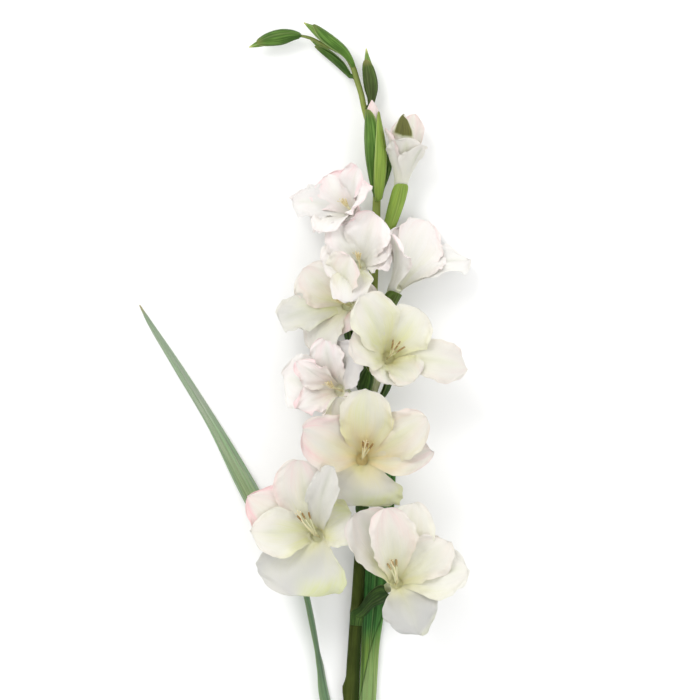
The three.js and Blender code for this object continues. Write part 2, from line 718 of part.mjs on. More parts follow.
const BRACT_STEPS = [0, 0.12, 0.3, 0.5, 0.7, 0.87, 1];
function floretBract(f, which, grow = 0) {
  const { pts, side } = tubeCurve(f), outer = which === 'outer';
  const end = outer ? f.bract[0] : f.bract[1];
  const ts = BRACT_STEPS.map((k) => 0.015 + (end - 0.015) * k);
  const line = ts.map((t) => bezier(pts, t));
  const tubeR = (k) => mix(TUBE_R0, TUBE_R1, Math.pow(0.015 + (end - 0.015) * k, 1.6));
  const [, , turn0 = 0, puff0 = 1.7, puff1 = 0.6, turn1 = turn0, apart0 = 0, wide0 = 1.62, apart1 = apart0] = f.bract;
  const wide = outer ? wide0 : 1.2;
  const half = (t) => { const k = BRACT_STEPS[Math.round(t * 6)]; return wide * (k < 0.55 ? 1 : Math.sqrt(Math.max(0.004, 1 - Math.pow((k - 0.55) / 0.45, 1.7)))); };
  const [turn, puff] = [(outer ? turn0 : turn1) * RAD, outer ? puff0 : puff1];
  const rad = (t) => { const k = BRACT_STEPS[Math.round(t * 6)]; return tubeR(k) + 0.7 + BRACT_T / 2 + puff * Math.sin(Math.PI * Math.min(1, k * 1.05)) * 0.8; };
  const rings = arcSheath(line, side, (outer ? 0 : Math.PI) + turn, half, rad, BRACT_T, grow, (t) => (outer ? apart0 : apart1) * smooth(BRACT_STEPS[Math.round(t * 6)] / 0.45));
  return loft(rings, null, null, true);
}

// ------------------------------------------------------------------ stamens
function rod(line, radii, n = 4) {
  const fr = frames(line, [0.31, 0.2, 0.93]);
  return loft(fr.map((s, i) => Array.from({ length: n }, (_, j) => add(s.c, add(mul(s.e1, radii[i] * Math.cos((j * 2 * Math.PI) / n)), mul(s.e2, radii[i] * Math.sin((j * 2 * Math.PI) / n)))))));
}

function stamens(f) {
  const ax = axes(f), st = f.stamen;
  const at = (x, y, w) => add(f.T, add(add(mul(ax.ex, x), mul(ax.ey, y)), mul(ax.a, w)));
  let m = rod([at(0, 0, 0.5), at(0, 0, 2.2)], [2.1, 1.2], 6);
  const lean = st.lean * RAD, cx = Math.cos(lean), sy = Math.sin(lean);
  for (let k = 0; k < 3; k++) {
    const off = (k - 1) * st.fan * RAD, a = lean + off, c = Math.cos(a), s = Math.sin(a);
    const L = st.len * (1 - 0.09 * Math.abs(k - 1) + 0.04 * k);
    const tip = at(st.out * 0.8 * c, st.out * 0.8 * s, L * 0.9);
    const d = unit(add(mul(sub(at(c, s, 0), f.T), 0.75), mul(ax.a, 0.8)));
    m = m.add(rod([at(0.7 * c, 0.7 * s, 1.2), at(st.out * 0.4 * c, st.out * 0.4 * s, L * 0.55), tip, add(tip, mul(d, 1.6)), add(tip, mul(d, 5)), add(tip, mul(d, 8))],
      [0.7, 0.5, 0.5, 1, 0.9, 0.35]));
  }
  const q = [at(-0.4 * cx, -0.4 * sy, 1.2), at(0.6 * cx, 0.6 * sy, st.len * 0.45), at(st.out * 0.45 * cx - 1.2 * sy, st.out * 0.45 * sy + 1.2 * cx, st.len * 0.95), at(st.out * 1.0 * cx - 2 * sy, st.out * 1.0 * sy + 2 * cx, st.len * 1.22)];
  m = m.add(rod(q, [0.6, 0.45, 0.4, 0.9]));
  return m;
}

// ----------------------------------------------------- stem, leaves and buds
const STEM_LINE = catmull(STEM, 60);

function stem(grow = 0) {
  const line = STEM_LINE.filter((_, i) => i % 2 === 0);
  const fr = frames(line.map((p) => p.slice(0, 3)), [1, 0, 0]);
  const n = 8;
  return loft(fr.map((s, i) => {
    const r = line[i][3] + grow;
    const c = i === 0 ? sub(s.c, mul(s.t, grow)) : i === fr.length - 1 ? add(s.c, mul(s.t, grow)) : s.c;
    return Array.from({ length: n }, (_, j) => add(c, add(mul(s.e1, r * Math.cos((j * 2 * Math.PI) / n)), mul(s.e2, r * Math.sin((j * 2 * Math.PI) / n)))))
      .map((p) => [p[0], p[1], Math.max(p[2], 0)]);
  }));
}

function blade(rows, steps, grow = 0) {
  const line = catmull(rows, steps), grid = [];
  for (let i = 0; i < line.length; i++) {
    const a = line[Math.max(i - 1, 0)], b = line[Math.min(i + 1, line.length - 1)];
    const t = unit([b[0] - a[0], b[1] - a[1], b[2] - a[2]]);
    const flat = unit(cross([0, 0, 1], t)), up = cross(t, flat);
    const roll = line[i][4] * RAD, h = Math.max(line[i][3], 0.25), kap = line[i][5];
    const side = add(mul(flat, Math.cos(roll)), mul(up, Math.sin(roll)));
    const nn = add(mul(flat, -Math.sin(roll)), mul(up, Math.cos(roll)));
    grid.push(V_STEPS.map((v) => {
      const s = h * v, x = Math.abs(kap) > 1e-5 ? Math.sin(kap * s) / kap : s, d = Math.abs(kap) > 1e-5 ? (1 - Math.cos(kap * s)) / kap : 0;
      const q = add(line[i].slice(0, 3), add(mul(side, x), mul(nn, d)));
      return [q[0], q[1], Math.max(q[2], Z_MIN)];
    }));
  }
  return loft(sheet(grid, () => 1.1, grow), null, null, true);
}

function spindle(rows, grow = 0, n = 8) {
  const line = catmull(rows, 8);
  const fr = frames(line.map((p) => p.slice(0, 3)), [0, 0, 1]);
  return loft(fr.map((s, i) => {
    const r = Math.max(line[i][3], 0.3) + grow;
    const c = i === 0 ? sub(s.c, mul(s.t, grow)) : i === fr.length - 1 ? add(s.c, mul(s.t, grow)) : s.c;
    return Array.from({ length: n }, (_, j) => add(c, add(mul(s.e1, r * Math.cos((j * 2 * Math.PI) / n)), mul(s.e2, r * Math.sin((j * 2 * Math.PI) / n)))));
  }));
}

function budBract(rows, b, grow = 0) {
  const line = catmull(rows, 24), n0 = Math.round(b.from * 24), n1 = Math.round(b.to * 24);
  const cut = BRACT_STEPS.map((k) => line[Math.round(mix(n0, n1, k))]);
  const { knee = 0.5, point = 1.8, lift = 0 } = b;
  const rad = (t) => Math.max(cut[Math.round(t * 6)][3], 0.5) + 1 + lift * (1 - smooth(t * 1.6 - 0.6)) + BRACT_T / 2 + b.puff * Math.sin(Math.PI * Math.min(1, t * 1.1)) * 0.9;
  const half = (t) => { const k = BRACT_STEPS[Math.round(t * 6)]; return b.wide * (k < knee ? 1 : Math.sqrt(Math.max(0.003, 1 - Math.pow((k - knee) / (1 - knee), point)))); };
  return loft(arcSheath(cut.map((p) => p.slice(0, 3)), [0, 0, 1], b.phi * RAD, half, rad, BRACT_T, grow), null, null, true);
}

// ----------------------------------------------------------------- assembly
const bodies = [];           // name, slot, body, thicker body used for gaps
const put = (name, look, make) => bodies.push({ name, look, make });
put('stem', 'stem', (g) => stem(g));
for (const [key, rows] of Object.entries(LEAVES)) put(key, 'leaf', (g) => blade(rows, 20, g));
const order = [9, 8, 7, 6, 5, 4, 3, 2, 1, 10];
for (const id of order) put(`flower_${id}_perianth`, 'tepal', (g) => perianth(FLORETS[id], g));
for (const id of order) if (FLORETS[id].stamen) put(`flower_${id}_stamens`, 'stamen', (g) => (g ? null : stamens(FLORETS[id])));
for (const b of BUDS) put(b.name, b.look, (g) => spindle(b.rows, g));
for (const id of order) {
  put(`flower_${id}_outer_bract`, 'bract', (g) => floretBract(FLORETS[id], 'outer', g));
  put(`flower_${id}_inner_bract`, 'bract', (g) => floretBract(FLORETS[id], 'inner', g));
}
for (const b of BUDS) for (const c of b.bracts) put(c.name, 'bract', (g) => budBract(b.rows, c, g));

const near = (a, b) => [0, 1, 2].every((c) => a.min[c] < b.max[c] + 0.5 && b.min[c] < a.max[c] + 0.5);
export const report = [];
const done = [];
for (const item of bodies) {
  let m = item.make(0);
  const v0 = m.volume(), box0 = m.boundingBox();
  for (const d of done) {
    if (!near(box0, d.box)) continue;
    if (m.intersect(d.fat).volume() > 1e-4) m = m.subtract(d.fat);
  }
  let shape = null, fewest = Infinity;
  for (const fine of [0.01, 0.02, 0.035, 0.05, 0.08]) {
    const next = separate(wholeOf(m.simplify(fine))[0].asOriginal()), bad = insideOut(next);
    if (bad < fewest) [shape, fewest] = [next, bad];
    if (!bad) break;
  }
  report.push({ name: item.name, volume: v0, kept: shape.volume(), bad: fewest, parts: wholeOf(m).map((q) => q.volume()) });
  const fat = item.make(GAP);
  done.push({ name: item.name, look: item.look, body: shape, fat: fat || item.make(0), box: box0 });
}

const group = new THREE.Group();
group.name = 'cut_gladiolus';
for (const d of done) {
  const g = d.body.getMesh();
  const geo = new THREE.BufferGeometry();
  const pos = new Float32Array((g.vertProperties.length / g.numProp) * 3);
  for (let i = 0; i < pos.length / 3; i++) for (let c = 0; c < 3; c++) pos[3 * i + c] = g.vertProperties[i * g.numProp + c];
  geo.setAttribute('position', new THREE.BufferAttribute(pos, 3));
  geo.setIndex(new THREE.BufferAttribute(new Uint32Array(g.triVerts), 1));
  geo.computeVertexNormals();
  const mesh = new THREE.Mesh(geo, new THREE.MeshStandardMaterial({ ...LOOK[d.look], metalness: 0 }));
  mesh.name = d.name;
  group.add(mesh);
}

export default group;
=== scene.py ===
import math
import bpy
import numpy as np
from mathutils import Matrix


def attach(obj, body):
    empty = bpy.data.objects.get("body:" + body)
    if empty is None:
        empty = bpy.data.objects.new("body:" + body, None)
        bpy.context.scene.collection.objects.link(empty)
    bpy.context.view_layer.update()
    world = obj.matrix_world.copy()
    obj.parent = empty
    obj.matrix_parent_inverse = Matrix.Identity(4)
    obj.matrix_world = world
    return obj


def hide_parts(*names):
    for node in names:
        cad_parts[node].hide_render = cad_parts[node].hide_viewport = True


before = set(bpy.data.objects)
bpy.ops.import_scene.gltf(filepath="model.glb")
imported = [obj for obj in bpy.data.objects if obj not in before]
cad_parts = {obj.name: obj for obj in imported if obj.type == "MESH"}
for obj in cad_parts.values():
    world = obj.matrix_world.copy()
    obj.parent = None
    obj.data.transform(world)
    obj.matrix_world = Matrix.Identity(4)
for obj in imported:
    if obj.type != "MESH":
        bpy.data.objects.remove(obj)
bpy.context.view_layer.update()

# ---------------------------------------------------------------- the stem's tables, in millimetres
STEM = [
    [34.68, -399.32, 6.25, 6.3],
    [36.38, -348.32, 7.6, 6.25],
    [37.66, -305.82, 8.1, 6.2],
    [39.78, -263.32, 8.4, 6.1],
    [41.48, -178.32, 8.9, 6],
    [44.03, -127.32, 9.7, 5.6],
    [47.43, -76.32, 10.5, 5.2],
    [50.83, -8.32, 11.5, 4.9],
    [54.23, 59.68, 12, 4.6],
    [57.63, 127.68, 12.5, 4.3],
    [60.18, 187.18, 13, 4],
    [62.3, 238.18, 13, 3.5],
    [62.73, 263.68, 13, 3.2],
    [61.03, 289.18, 13, 3],
    [56.36, 310.43, 13, 2.7],
    [52.27, 324.88, 13, 2.5],
    [49.3, 338.48, 13, 2.5],
    [45.73, 350.38, 13, 2.5],
    [41.91, 362.28, 13, 2.4],
    [35.53, 371.63, 13, 2],
    [27.03, 376.31, 12.5, 1.6],
    [15.98, 381.4, 12.5, 1.5],
    [6.63, 386.08, 12.5, 1.4],
    [-2.29, 388.38, 12.5, 1.2],
]

FLORETS = {
    9: {
        "T": [78.9, -78.98, 38],
        "axis": [0.1668, 0.2293, 0.959],
        "S": -103.52,
        "bract": [0.92, 0.55, -45, 4, 0.6, -45, 4, 1.68],
        "tepals": [
            [128, 76.5, 50, 26, 82, 0.006, 0, 0, 2, 0.3, 0.58, 0.8],
            [111, 83.5, 42, 16, 60, 0.014, 0, 0, 2, 1.3, 0.6, 1.1],
            [83, 72.5, 46, 26, 80, 0.01, 0, 0, 2.5, 2.3, 0.62, 1],
            [39, 61, 42, 20, 72, 0.01, 0, 0, 2.5, 3, 0.62, 1],
            [9, 63.5, 46, 24, 84, 0.006, 0, 0, 2.5, 4, 0.62, 0.9],
            [289, 51.5, 48, 34, 100, -0.002, 0, 0, 2.5, 5, 0.52, 1.15],
        ],
        "stamen": {"len": 26, "out": 15, "lean": 122, "fan": 16},
    },
    8: {
        "T": [12.56, -39.01, 38],
        "axis": [-0.2947, 0.1263, 0.9472],
        "S": -43.17,
        "bract": [0.9, 0.55],
        "tepals": [
            [90, 77, 52, 20, 72, 0.01, 0, 0, 2, 0.3, 0.62, 0.9],
            [147, 71, 48, 24, 80, 0.008, 0, 0, 2, 1.3, 0.58, 1.5],
            [179, 62.5, 44, 16, 64, 0.012, 0, 0, 2, 2.3, 0.58, 1.5],
            [257, 55, 82, 34, 104, -0.002, 0, 0, 2, 3, 0.62, 0.6],
            [60, 83.5, 28, 16, 70, 0.018, 0, 0, 1, 4, 0.6, 0.9],
            [22, 45, 46, 24, 84, 0.01, 0, 0, 2, 5, 0.6, 0.9],
        ],
        "stamen": {"len": 27, "out": 17, "lean": 106, "fan": 16},
    },
    7: {
        "T": [49.96, 26.69, 46],
        "axis": [0.0499, 0, 0.9988],
        "S": -12.57,
        "bract": [0.85, 0.5],
        "tepals": [
            [113, 65.5, 44, 26, 84, 0.008, 0, 0, 2, 5.3, 0.6, 1.1],
            [88, 80.5, 46, 21, 66, 0.012, 0, 0, 2, 0.3, 0.62, 1],
            [35, 79.5, 42, 20, 76, 0.01, 0, 0, 2.5, 1.3, 0.62, 1],
            [9, 69.5, 36, 20, 82, 0.016, 0, 0, 2.5, 2.3, 0.6, 1.1],
            [260, 38.5, 80, 34, 104, -0.004, 0, 0, 1.6, 3, 0.64, 0.7],
            [154, 73, 50, 20, 78, 0.012, 0, 0, 3, 4, 0.6, 1.1],
        ],
        "stamen": {"len": 25, "out": 14, "lean": 76, "fan": 16},
    },
    6: {
        "T": [31.27, 85.14, 36],
        "axis": [-0.5289, 0.0635, 0.8463],
        "S": 42.68,
        "bract": [0.85, 0.5],
        "tepals": [
            [86, 46.5, 38, 22, 80, 0.01, 0, 0, 2, 0.3, 0.6, 1],
            [132, 46, 26, 14, 58, 0.04, 0, 0, 2, 1.3, 0.55, 1.5],
            [166, 46.5, 50, 26, 88, 0.006, 0, 0, 2, 2.3, 0.62, 0.9],
            [213, 38, 30, 18, 70, 0.035, 0, 0, 2, 3, 0.55, 1.4],
            [301, 43.5, 38, 26, 82, 0.01, 0, 0, 2, 4, 0.6, 1],
            [50, 48.5, 44, 26, 92, 0.006, 0, 0, 2, 5, 0.58, 0.9],
        ],
        "stamen": {"len": 13, "out": 4, "lean": 110, "fan": 16},
    },
    5: {
        "T": [72.02, 112.39, 46],
        "axis": [0.2612, 0.2009, 0.9442],
        "S": 66.48,
        "bract": [0.9, 0.86, -70, 5.5, 5, -110, 13, 1.48, 4],
        "tepals": [
            [133, 72, 46, 18, 72, 0.01, 0, 0, 1.6, 0.3, 0.62, 0.9],
            [63, 51, 44, 18, 76, 0.01, 0, 0, 2, 1.3, 0.62, 0.9],
            [351, 66, 38, 28, 98, 0.006, 0, 0, 2, 2.3, 0.62, 1],
            [302, 39, 34, 16, 60, 0.018, 0, 0, 2, 3, 0.6, 1],
            [257, 35.5, 42, 16, 66, 0.012, 0, 0, 1.5, 4, 0.6, 1],
            [170, 54.5, 44, 18, 74, 0.012, 0, 0, 1.5, 5, 0.6, 1],
        ],
        "stamen": {"len": 15, "out": 7, "lean": 64, "fan": 30},
    },
    4: {
        "T": [79.42, 173.74, 30],
        "axis": [0.5048, 0.7876, 0.3534],
        "S": 131.93,
        "bract": [0.97, 0.55, -30, 2.4, 0.6, -30, 2],
        "tepals": [
            [214, 59, 38, 14, 56, 0.012, 0, 0, 2, 0.3, 0.6, 1],
            [86, 64, 44, 14, 56, 0.012, 0, 0, 2, 1.3, 0.62, 0.9],
            [30, 66.5, 42, 18, 76, 0.008, 0, 0, 2, 2.3, 0.62, 0.9],
            [52, 47, 40, 14, 50, 0.016, 0, 0, 2, 3, 0.6, 1.2],
            [84, 46.5, 38, 16, 66, 0.01, 0, 0, 2, 4, 0.6, 1],
            [125, 48, 38, 14, 58, 0.012, 0, 0, 2, 5, 0.6, 1],
        ],
        "stamen": {"len": 14, "out": 3, "lean": 80, "fan": 16},
    },
    3: {
        "T": [38.08, 157.47, 36],
        "axis": [-0.5731, 0.1042, 0.8128],
        "S": 103.88,
        "bract": [0.9, 0.5, -60, 3.5, 0.6, -60, 8],
        "tepals": [
            [46, 62, 40, 16, 70, 0.012, 0, 0, 2, 0.3, 0.6, 1],
            [128, 48.5, 44, 16, 72, 0.01, 0, 0, 2, 1.3, 0.62, 0.9],
            [196, 58, 36, 20, 76, 0.016, 0, 15, 2, 2.3, 0.66, 0.5],
            [244, 47, 42, 26, 92, 0, 0, 0, 2, 3, 0.62, 0.9],
            [283, 30, 34, 22, 80, 0.008, 0, 0, 2, 4, 0.6, 1],
            [0, 34, 36, 40, 104, 0.008, 0, 0, 2, 5, 0.6, 1],
        ],
        "stamen": {"len": 12, "out": 3, "lean": 110, "fan": 16},
    },
    2: {
        "T": [48.27, 190.5, 44],
        "axis": [-0.128, 0.32, 0.9387],
        "S": 161.68,
        "bract": [0.85, 0.5],
        "tepals": [
            [62, 48, 42, 18, 68, 0.012, 0, 0, 2, 0.3, 0.62, 0.9],
            [31, 38, 34, 20, 72, 0.01, 0, 0, 2, 1.3, 0.6, 1],
            [4, 30, 28, 20, 74, 0.012, 0, 0, 2, 2.3, 0.6, 1],
            [262, 53, 36, 20, 80, 0.004, 0, 0, 2, 3, 0.62, 1],
            [186, 34, 38, 18, 74, 0.01, 0, 0, 2, 4, 0.6, 1],
            [119, 42, 38, 20, 72, 0.01, 0, 0, 2, 5, 0.6, 1],
        ],
        "stamen": {"len": 13, "out": 4, "lean": 85, "fan": 16},
    },
    1: {
        "T": [43.19, 235.11, 30],
        "axis": [-0.5547, 0.4992, 0.6656],
        "S": 204.18,
        "bract": [0.85, 0.5],
        "tepals": [
            [27, 44.5, 38, 12, 58, 0.014, 0, 0, 2, 0.3, 0.6, 1],
            [113, 39, 44, 14, 64, 0.012, 0, 0, 2, 1.3, 0.62, 0.9],
            [166, 51.5, 38, 18, 76, 0.01, 0, 0, 2, 2.3, 0.6, 1.2],
            [250, 45, 38, 18, 74, 0.008, 0, 0, 2, 3, 0.6, 1],
            [278, 30, 34, 18, 70, 0.01, 0, 0, 2, 4, 0.6, 1],
            [332, 55.5, 32, 20, 70, 0.014, 0, 0, 2, 5, 0.6, 1],
        ],
        "stamen": {"len": 13, "out": 4, "lean": 100, "fan": 16},
    },
    10: {
        "T": [83.33, 264.34, 24],
        "axis": [0.1321, 0.9657, 0.2236],
        "S": 202.48,
        "bract": [0.98, 0.6, -48, 1.9],
        "tepals": [
            [268, 41.5, 36, 10, 22, 0.03, 0, 0, 1, 0.3, 0.55, 1],
            [193, 46, 28, 12, 24, 0.03, 0, 0, 1, 1.3, 0.55, 1.1],
            [318, 37, 32, 12, 28, 0.03, 0, 0, 1, 2.3, 0.58, 1],
            [248, 60, 22, 6, 13, 0.045, 0, 0, 0.6, 3, 0.5, 1.4],
            [78, 56.5, 28, 8, 18, 0.03, 0, 0, 1, 4, 0.55, 1.1],
            [120, 50, 24, 8, 14, 0.03, 0, 0, 1, 5, 0.55, 1.1],
        ],
    },
}

LEAVES = {
    "leaf_left": [
        [29.75, -335.57, 7.9, 10, 90, 0.139],
        [31.28, -297.32, 8.1, 10, 90, 0.139],
        [32.3, -263.32, 8.3, 9.5, 88, 0.135],
        [28.31, -229.32, 7.8, 8, 70, 0.11],
        [23.63, -202.12, 7, 6.4, 45, 0.08],
        [17.68, -180.02, 6.2, 5.6, 38, 0.06],
        [13.43, -154.52, 6.6, 5.8, 60, 0.055],
        [9.61, -131.57, 6.8, 6.2, 68, 0.05],
        [-0.17, -86.52, 7.2, 6.8, 68, 0.04],
        [-14.62, -61.87, 5.6, 7.4, 40, 0.03],
        [-33.32, -27.02, 2.4, 8, 10, 0.03],
        [-51.17, 6.13, 1.2, 7.9, 0, 0.03],
        [-77.94, 55.43, 0.9, 5.1, 0, 0.03],
        [-109.4, 106.43, 0.8, 3.7, 0, 0.03],
        [-131.07, 140.43, 0.8, 2.2, 0, 0.02],
        [-141.27, 158.28, 0.8, 0.3, 0, 0],
    ],
    "leaf_right": [
        [45.39, -352.57, 7.7, 9.8, -90, 0.139],
        [46.58, -314.32, 8, 10, -90, 0.139],
        [47.43, -280.32, 8.3, 10, -88, 0.137],
        [49.55, -246.32, 7.6, 9.2, -66, 0.11],
        [52.53, -212.32, 5.6, 8.4, -32, 0.07],
        [55.08, -178.32, 3.6, 7.5, -8, 0.045],
        [57.21, -135.82, 2.8, 7.9, -3, 0.035],
        [59.84, -101.82, 2.4, 9.8, 0, 0.035],
        [62.9, -59.32, 1.8, 10.4, 0, 0.03],
        [70.38, -12.57, 1.1, 7.6, 0, 0.03],
        [73.36, 17.18, 0.9, 6, 0, 0.03],
        [78.03, 38.43, 0.8, 3.4, 0, 0.02],
        [81.43, 52.88, 0.8, 0.3, 0, 0],
    ],
}

BUDS = [
    {
        "name": "bud_1_petals",
        "look": "tepal",
        "rows": [
            [63.16, 250.08, 20.2, 1.5],
            [62.3, 263.68, 23, 4.4],
            [61.45, 282.38, 25, 6.6],
            [60.18, 299.38, 25.5, 6.4],
            [59.33, 314.68, 25, 5.4],
            [58.91, 324.88, 24.5, 4.4],
            [58.48, 332.53, 24, 0.5],
        ],
        "bracts": [
            {
                "name": "bud_1_outer_bract",
                "phi": 60,
                "wide": 2.2,
                "from": 0.02,
                "to": 0.78,
                "puff": 1,
                "lift": 1.3,
                "knee": 0.02,
                "point": 0.5,
                "bright": 1,
                "dark": 0.05,
            },
            {"name": "bud_1_inner_bract", "phi": -62, "wide": 1.8, "from": 0.08, "to": 0.82, "puff": 0.4, "knee": 0.6, "point": 2.2, "dark": 0.55, "bright": 0},
        ],
    },
    {
        "name": "bud_2_core",
        "look": "bud",
        "rows": [
            [57.29, 327.43, 13.6, 0.8],
            [58.31, 335.08, 13.6, 2.3],
            [57.97, 342.73, 13.6, 4.1],
            [56.95, 351.23, 13.6, 4.5],
            [55.59, 360.58, 13.6, 3.8],
            [54.57, 368.23, 13.6, 2.4],
            [53.64, 377.58, 13.6, 0.4],
        ],
        "bracts": [
            {"name": "bud_2_bract", "phi": -20, "wide": 1.9, "from": 0.05, "to": 0.82, "puff": 0.3, "dark": 1, "dry": 0.6, "tan": 0.09},
        ],
    },
    {
        "name": "bud_3_core",
        "look": "bud",
        "rows": [
            [40.46, 353.78, 8.8, 0.8],
            [36.89, 359.05, 8, 1.8],
            [31.96, 365, 7.2, 2.6],
            [24.65, 371.46, 7, 2.9],
            [17, 377.41, 7, 2.6],
            [10.88, 382, 7.2, 1.7],
            [5.78, 385.57, 7.6, 0.4],
        ],
        "bracts": [
            {"name": "bud_3_bract", "phi": -60, "wide": 1.7, "from": 0.04, "to": 0.85, "puff": 0.3, "dark": 0.78},
        ],
    },
    {
        "name": "bud_4_core",
        "look": "bud",
        "rows": [
            [41.91, 363.98, 16.6, 0.9],
            [34.68, 373.33, 18.2, 2.8],
            [25.76, 380.56, 18.6, 4.1],
            [16.41, 387.36, 18.6, 4.2],
            [7.91, 394.15, 18, 2.8],
            [0.26, 399.25, 17.4, 0.4],
        ],
        "bracts": [
            {"name": "bud_4_bract", "phi": 50, "wide": 1.8, "from": 0.04, "to": 0.85, "puff": 0.3, "dark": 0.2},
        ],
    },
    {
        "name": "bud_5_core",
        "look": "bud",
        "rows": [
            [-2.89, 388.46, 12.6, 1.1],
            [-10.37, 388.63, 13, 3.4],
            [-19.72, 387.1, 13.2, 4.9],
            [-29.92, 384.72, 13.2, 4.4],
            [-38.42, 381.4, 13, 2.9],
            [-46.92, 378.43, 12.8, 0.4],
        ],
        "bracts": [
            {"name": "bud_5_bract", "phi": 20, "wide": 2, "from": 0.04, "to": 0.85, "puff": 0.3, "dark": 0.62},
        ],
    },
    {
        "name": "side_bract",
        "look": "bract",
        "rows": [
            [66.89, 249.23, 12.4, 0.6],
            [68.51, 257.73, 12, 1],
            [71.23, 267.08, 12, 1.9],
            [73.19, 278.13, 12, 2.6],
            [73.1, 291.73, 12, 0.4],
        ],
        "bracts": [],
    },
]

# per flower, one number or one per tepal. grey is painted lilac-grey shade; bract sets how dark the bracts go, partly
# painted shade
LOOKS = {
    9: {
        "rim": [0, 0, 0, 0, 0, 0.5],
        "pink": [0.4, 0.62, 0.12, 0.2, 0.05, 0.05],
        "throat": 0.6,
        "reach": 0.26,
        "wash": [1.1, 0.6, 0.95, 0.7, 0.55, 0.25],
        "grey": [0.45, 0.08, 0.02, 0.02, 0.12, 1.28],
        "gold": [0.1, 0.15, 0.25, 0.2, 0.1, 0.1],
        # painted shade: flower 9's bract is darkened all over
        "bract": 1.4,
        "anther": 0.75,
        "anther_size": 0.9,
    },
    8: {
        "rim": [0, 0, 0, 1, 0, 1],
        "rim_from": 0.46,
        "rim_green": 0.5,
        "pink": [0.62, 1, 0.12, 0.02, 0.05, 0.08],
        "throat": 0.34,
        "reach": 0.24,
        "wash": [0.7, 0.8, 0.9, 0.45, 0.15, 1.1],
        "grey": [0.15, 0.08, 0.03, 0.74, 0.42, 0.05],
        "gold": [0.05, 0.05, 0.1, 0.1, 0.05, 0.25],
        "bract": 0.98,
        "anther": 1,
        "anther_size": 0.8,
    },
    7: {
        "rim": [0, 0, 0, 0, 1, 0],
        "rim_from": 0.46,
        "rim_green": 0.9,
        "gold_reach": 0.5,
        "pink": [0.2, 0.12, 0.4, 0.7, 0.1, 1],
        "throat": 0.68,
        "reach": 0.31,
        "wash": [1.7, 1.7, 0.8, 0.6, 0.55, 0.6],
        "wash_reach": 0.85,
        "grey": [0.38, 0.3, 0.2, 0.35, 0.85, 0.38],
        "gold": [0.8, 0.85, 0.65, 0.5, 0.3, 0.5],
        "blush": [0.15, 0.1, 0.2, 0.3, 0.1, 0.4],
        "bract": 0.95,
        "anther": 1,
        "anther_size": 0.85,
    },
    6: {
        "painted_light": 1,
        "pink": [0.55, 0.75, 0.15, 0.75, 0.35, 0.4],
        "throat": 0.1,
        "reach": 0.24,
        "wash": [0.2, 0.2, 0.1, 0.2, 0.3, 0.1],
        "grey": [0.05, 0.02, 0.05, 0.02, 0.05, 0.7],
        "gold": [0.08, 0.12, 0.05, 0.2, 0.05, 0.03],
        "blush": [0.4, 0.35, 0.2, 0.4, 0.3, 0.3],
        "bract": 0.7,
        "anther": 0.1,
        "anther_size": 0.7,
    },
    5: {
        "pink": [0.15, 0.1, 0.3, 0.25, 0.2, 0.35],
        "throat": 0.75,
        "reach": 0.32,
        "wash": [1.15, 1, 0.25, 1, 1, 1.1],
        "wash_reach": 0.72,
        "grey": [0.1, 0.05, 0.22, 0.15, 0.15, 0.2],
        "gold": [0.2, 0.15, 0.15, 0.3, 0.15, 0.15],
        "bract": 1,
        "anther": 0.9,
        "anther_size": 0.75,
        "anther_long": 1.5,
    },
    4: {
        "painted_light": 1,
        "pink": [0.55, 0.35, 0.05, 0.25, 0.3, 0.4],
        "throat": 0.1,
        "reach": 0.26,
        "wash": [0.1, 0.3, 0.1, 0.3, 0.2, 0.1],
        "grey": [0.02, 0.02, 0.1, 0.02, 0.02, 0.02],
        "bract": 0.85,
        "tan": 0.12,
        "anther": 0.1,
        "anther_size": 0.7,
    },
    3: {
        "pink": [0.35, 0.45, 0.05, 0.15, 0.95, 0.3],
        "throat": 0.5,
        "reach": 0.28,
        "wash": [0.7, 0.8, 1, 0.35, 0.4, 0.4],
        "grey": [0.08, 0.08, 0.5, 0.1, 0.08, 0.08],
        "blush": [0.1, 0.35, 0, 0.1, 0.9, 0.1],
        "bract": 0.97,
        "anther": 0.1,
        "anther_size": 0.7,
    },
    2: {
        "painted_light": 1,
        "pink": [0.5, 0.42, 0.32, 0.2, 0.2, 0.4],
        "throat": 0.08,
        "reach": 0.26,
        "wash": [0.1, 0.1, 0.1, 1, 0.7, 0.1],
        "grey": [0.02, 0.03, 0.03, 0.28, 0.12, 0.03],
        "bract": 0.8,
        "anther": 0.1,
        "anther_size": 0.7,
    },
    1: {
        "painted_light": 1,
        "pink": [0.75, 0.9, 0.2, 0.25, 0.8, 0.65],
        "throat": 0.08,
        "reach": 0.24,
        "wash": [0.05, 0.05, 0.05, 0.2, 0.1, 0.05],
        "grey": [0.18, 0.1, 0.35, 0.08, 0.05, 0.15],
        "blush": [0.1, 0.3, 0, 0.1, 0.6, 0.1],
        "bract": 0.8,
        "anther": 0.1,
        "anther_size": 0.7,
    },
    10: {
        "pink": [0.1, 0.95, 0.15, 0.3, 0.6, 0.55],
        "throat": 0.35,
        "reach": 0.25,
        "wash": 0.25,
        "grey": 0.12,
        "frill": 0.4,
        "recurve": 0.3,
        "bract": 0.05,
        "bright": 1.2,
        "green_tip": {3: 1},
    },
}

VIEW = [39.78, 119.18]        # what the camera centres on, x and y in millimetres

MM = 0.001
RAD = math.pi / 180
Z_MIN, R_IN, R_OUT, TUBE_R0, TUBE_R, BRACT_T = 0.55, 5.2, 6.2, 1.9, 5.9, 0.9


# ---------------------------------------------------------------- small maths
def unit(a):
    a = np.asarray(a, float)
    n = np.linalg.norm(a, axis=-1, keepdims=True)
    return a / np.where(n == 0, 1, n)


def smooth(x, a=0.0, b=1.0):
    t = np.clip((np.asarray(x, float) - a) / (b - a), 0, 1)
    return t * t * (3 - 2 * t)


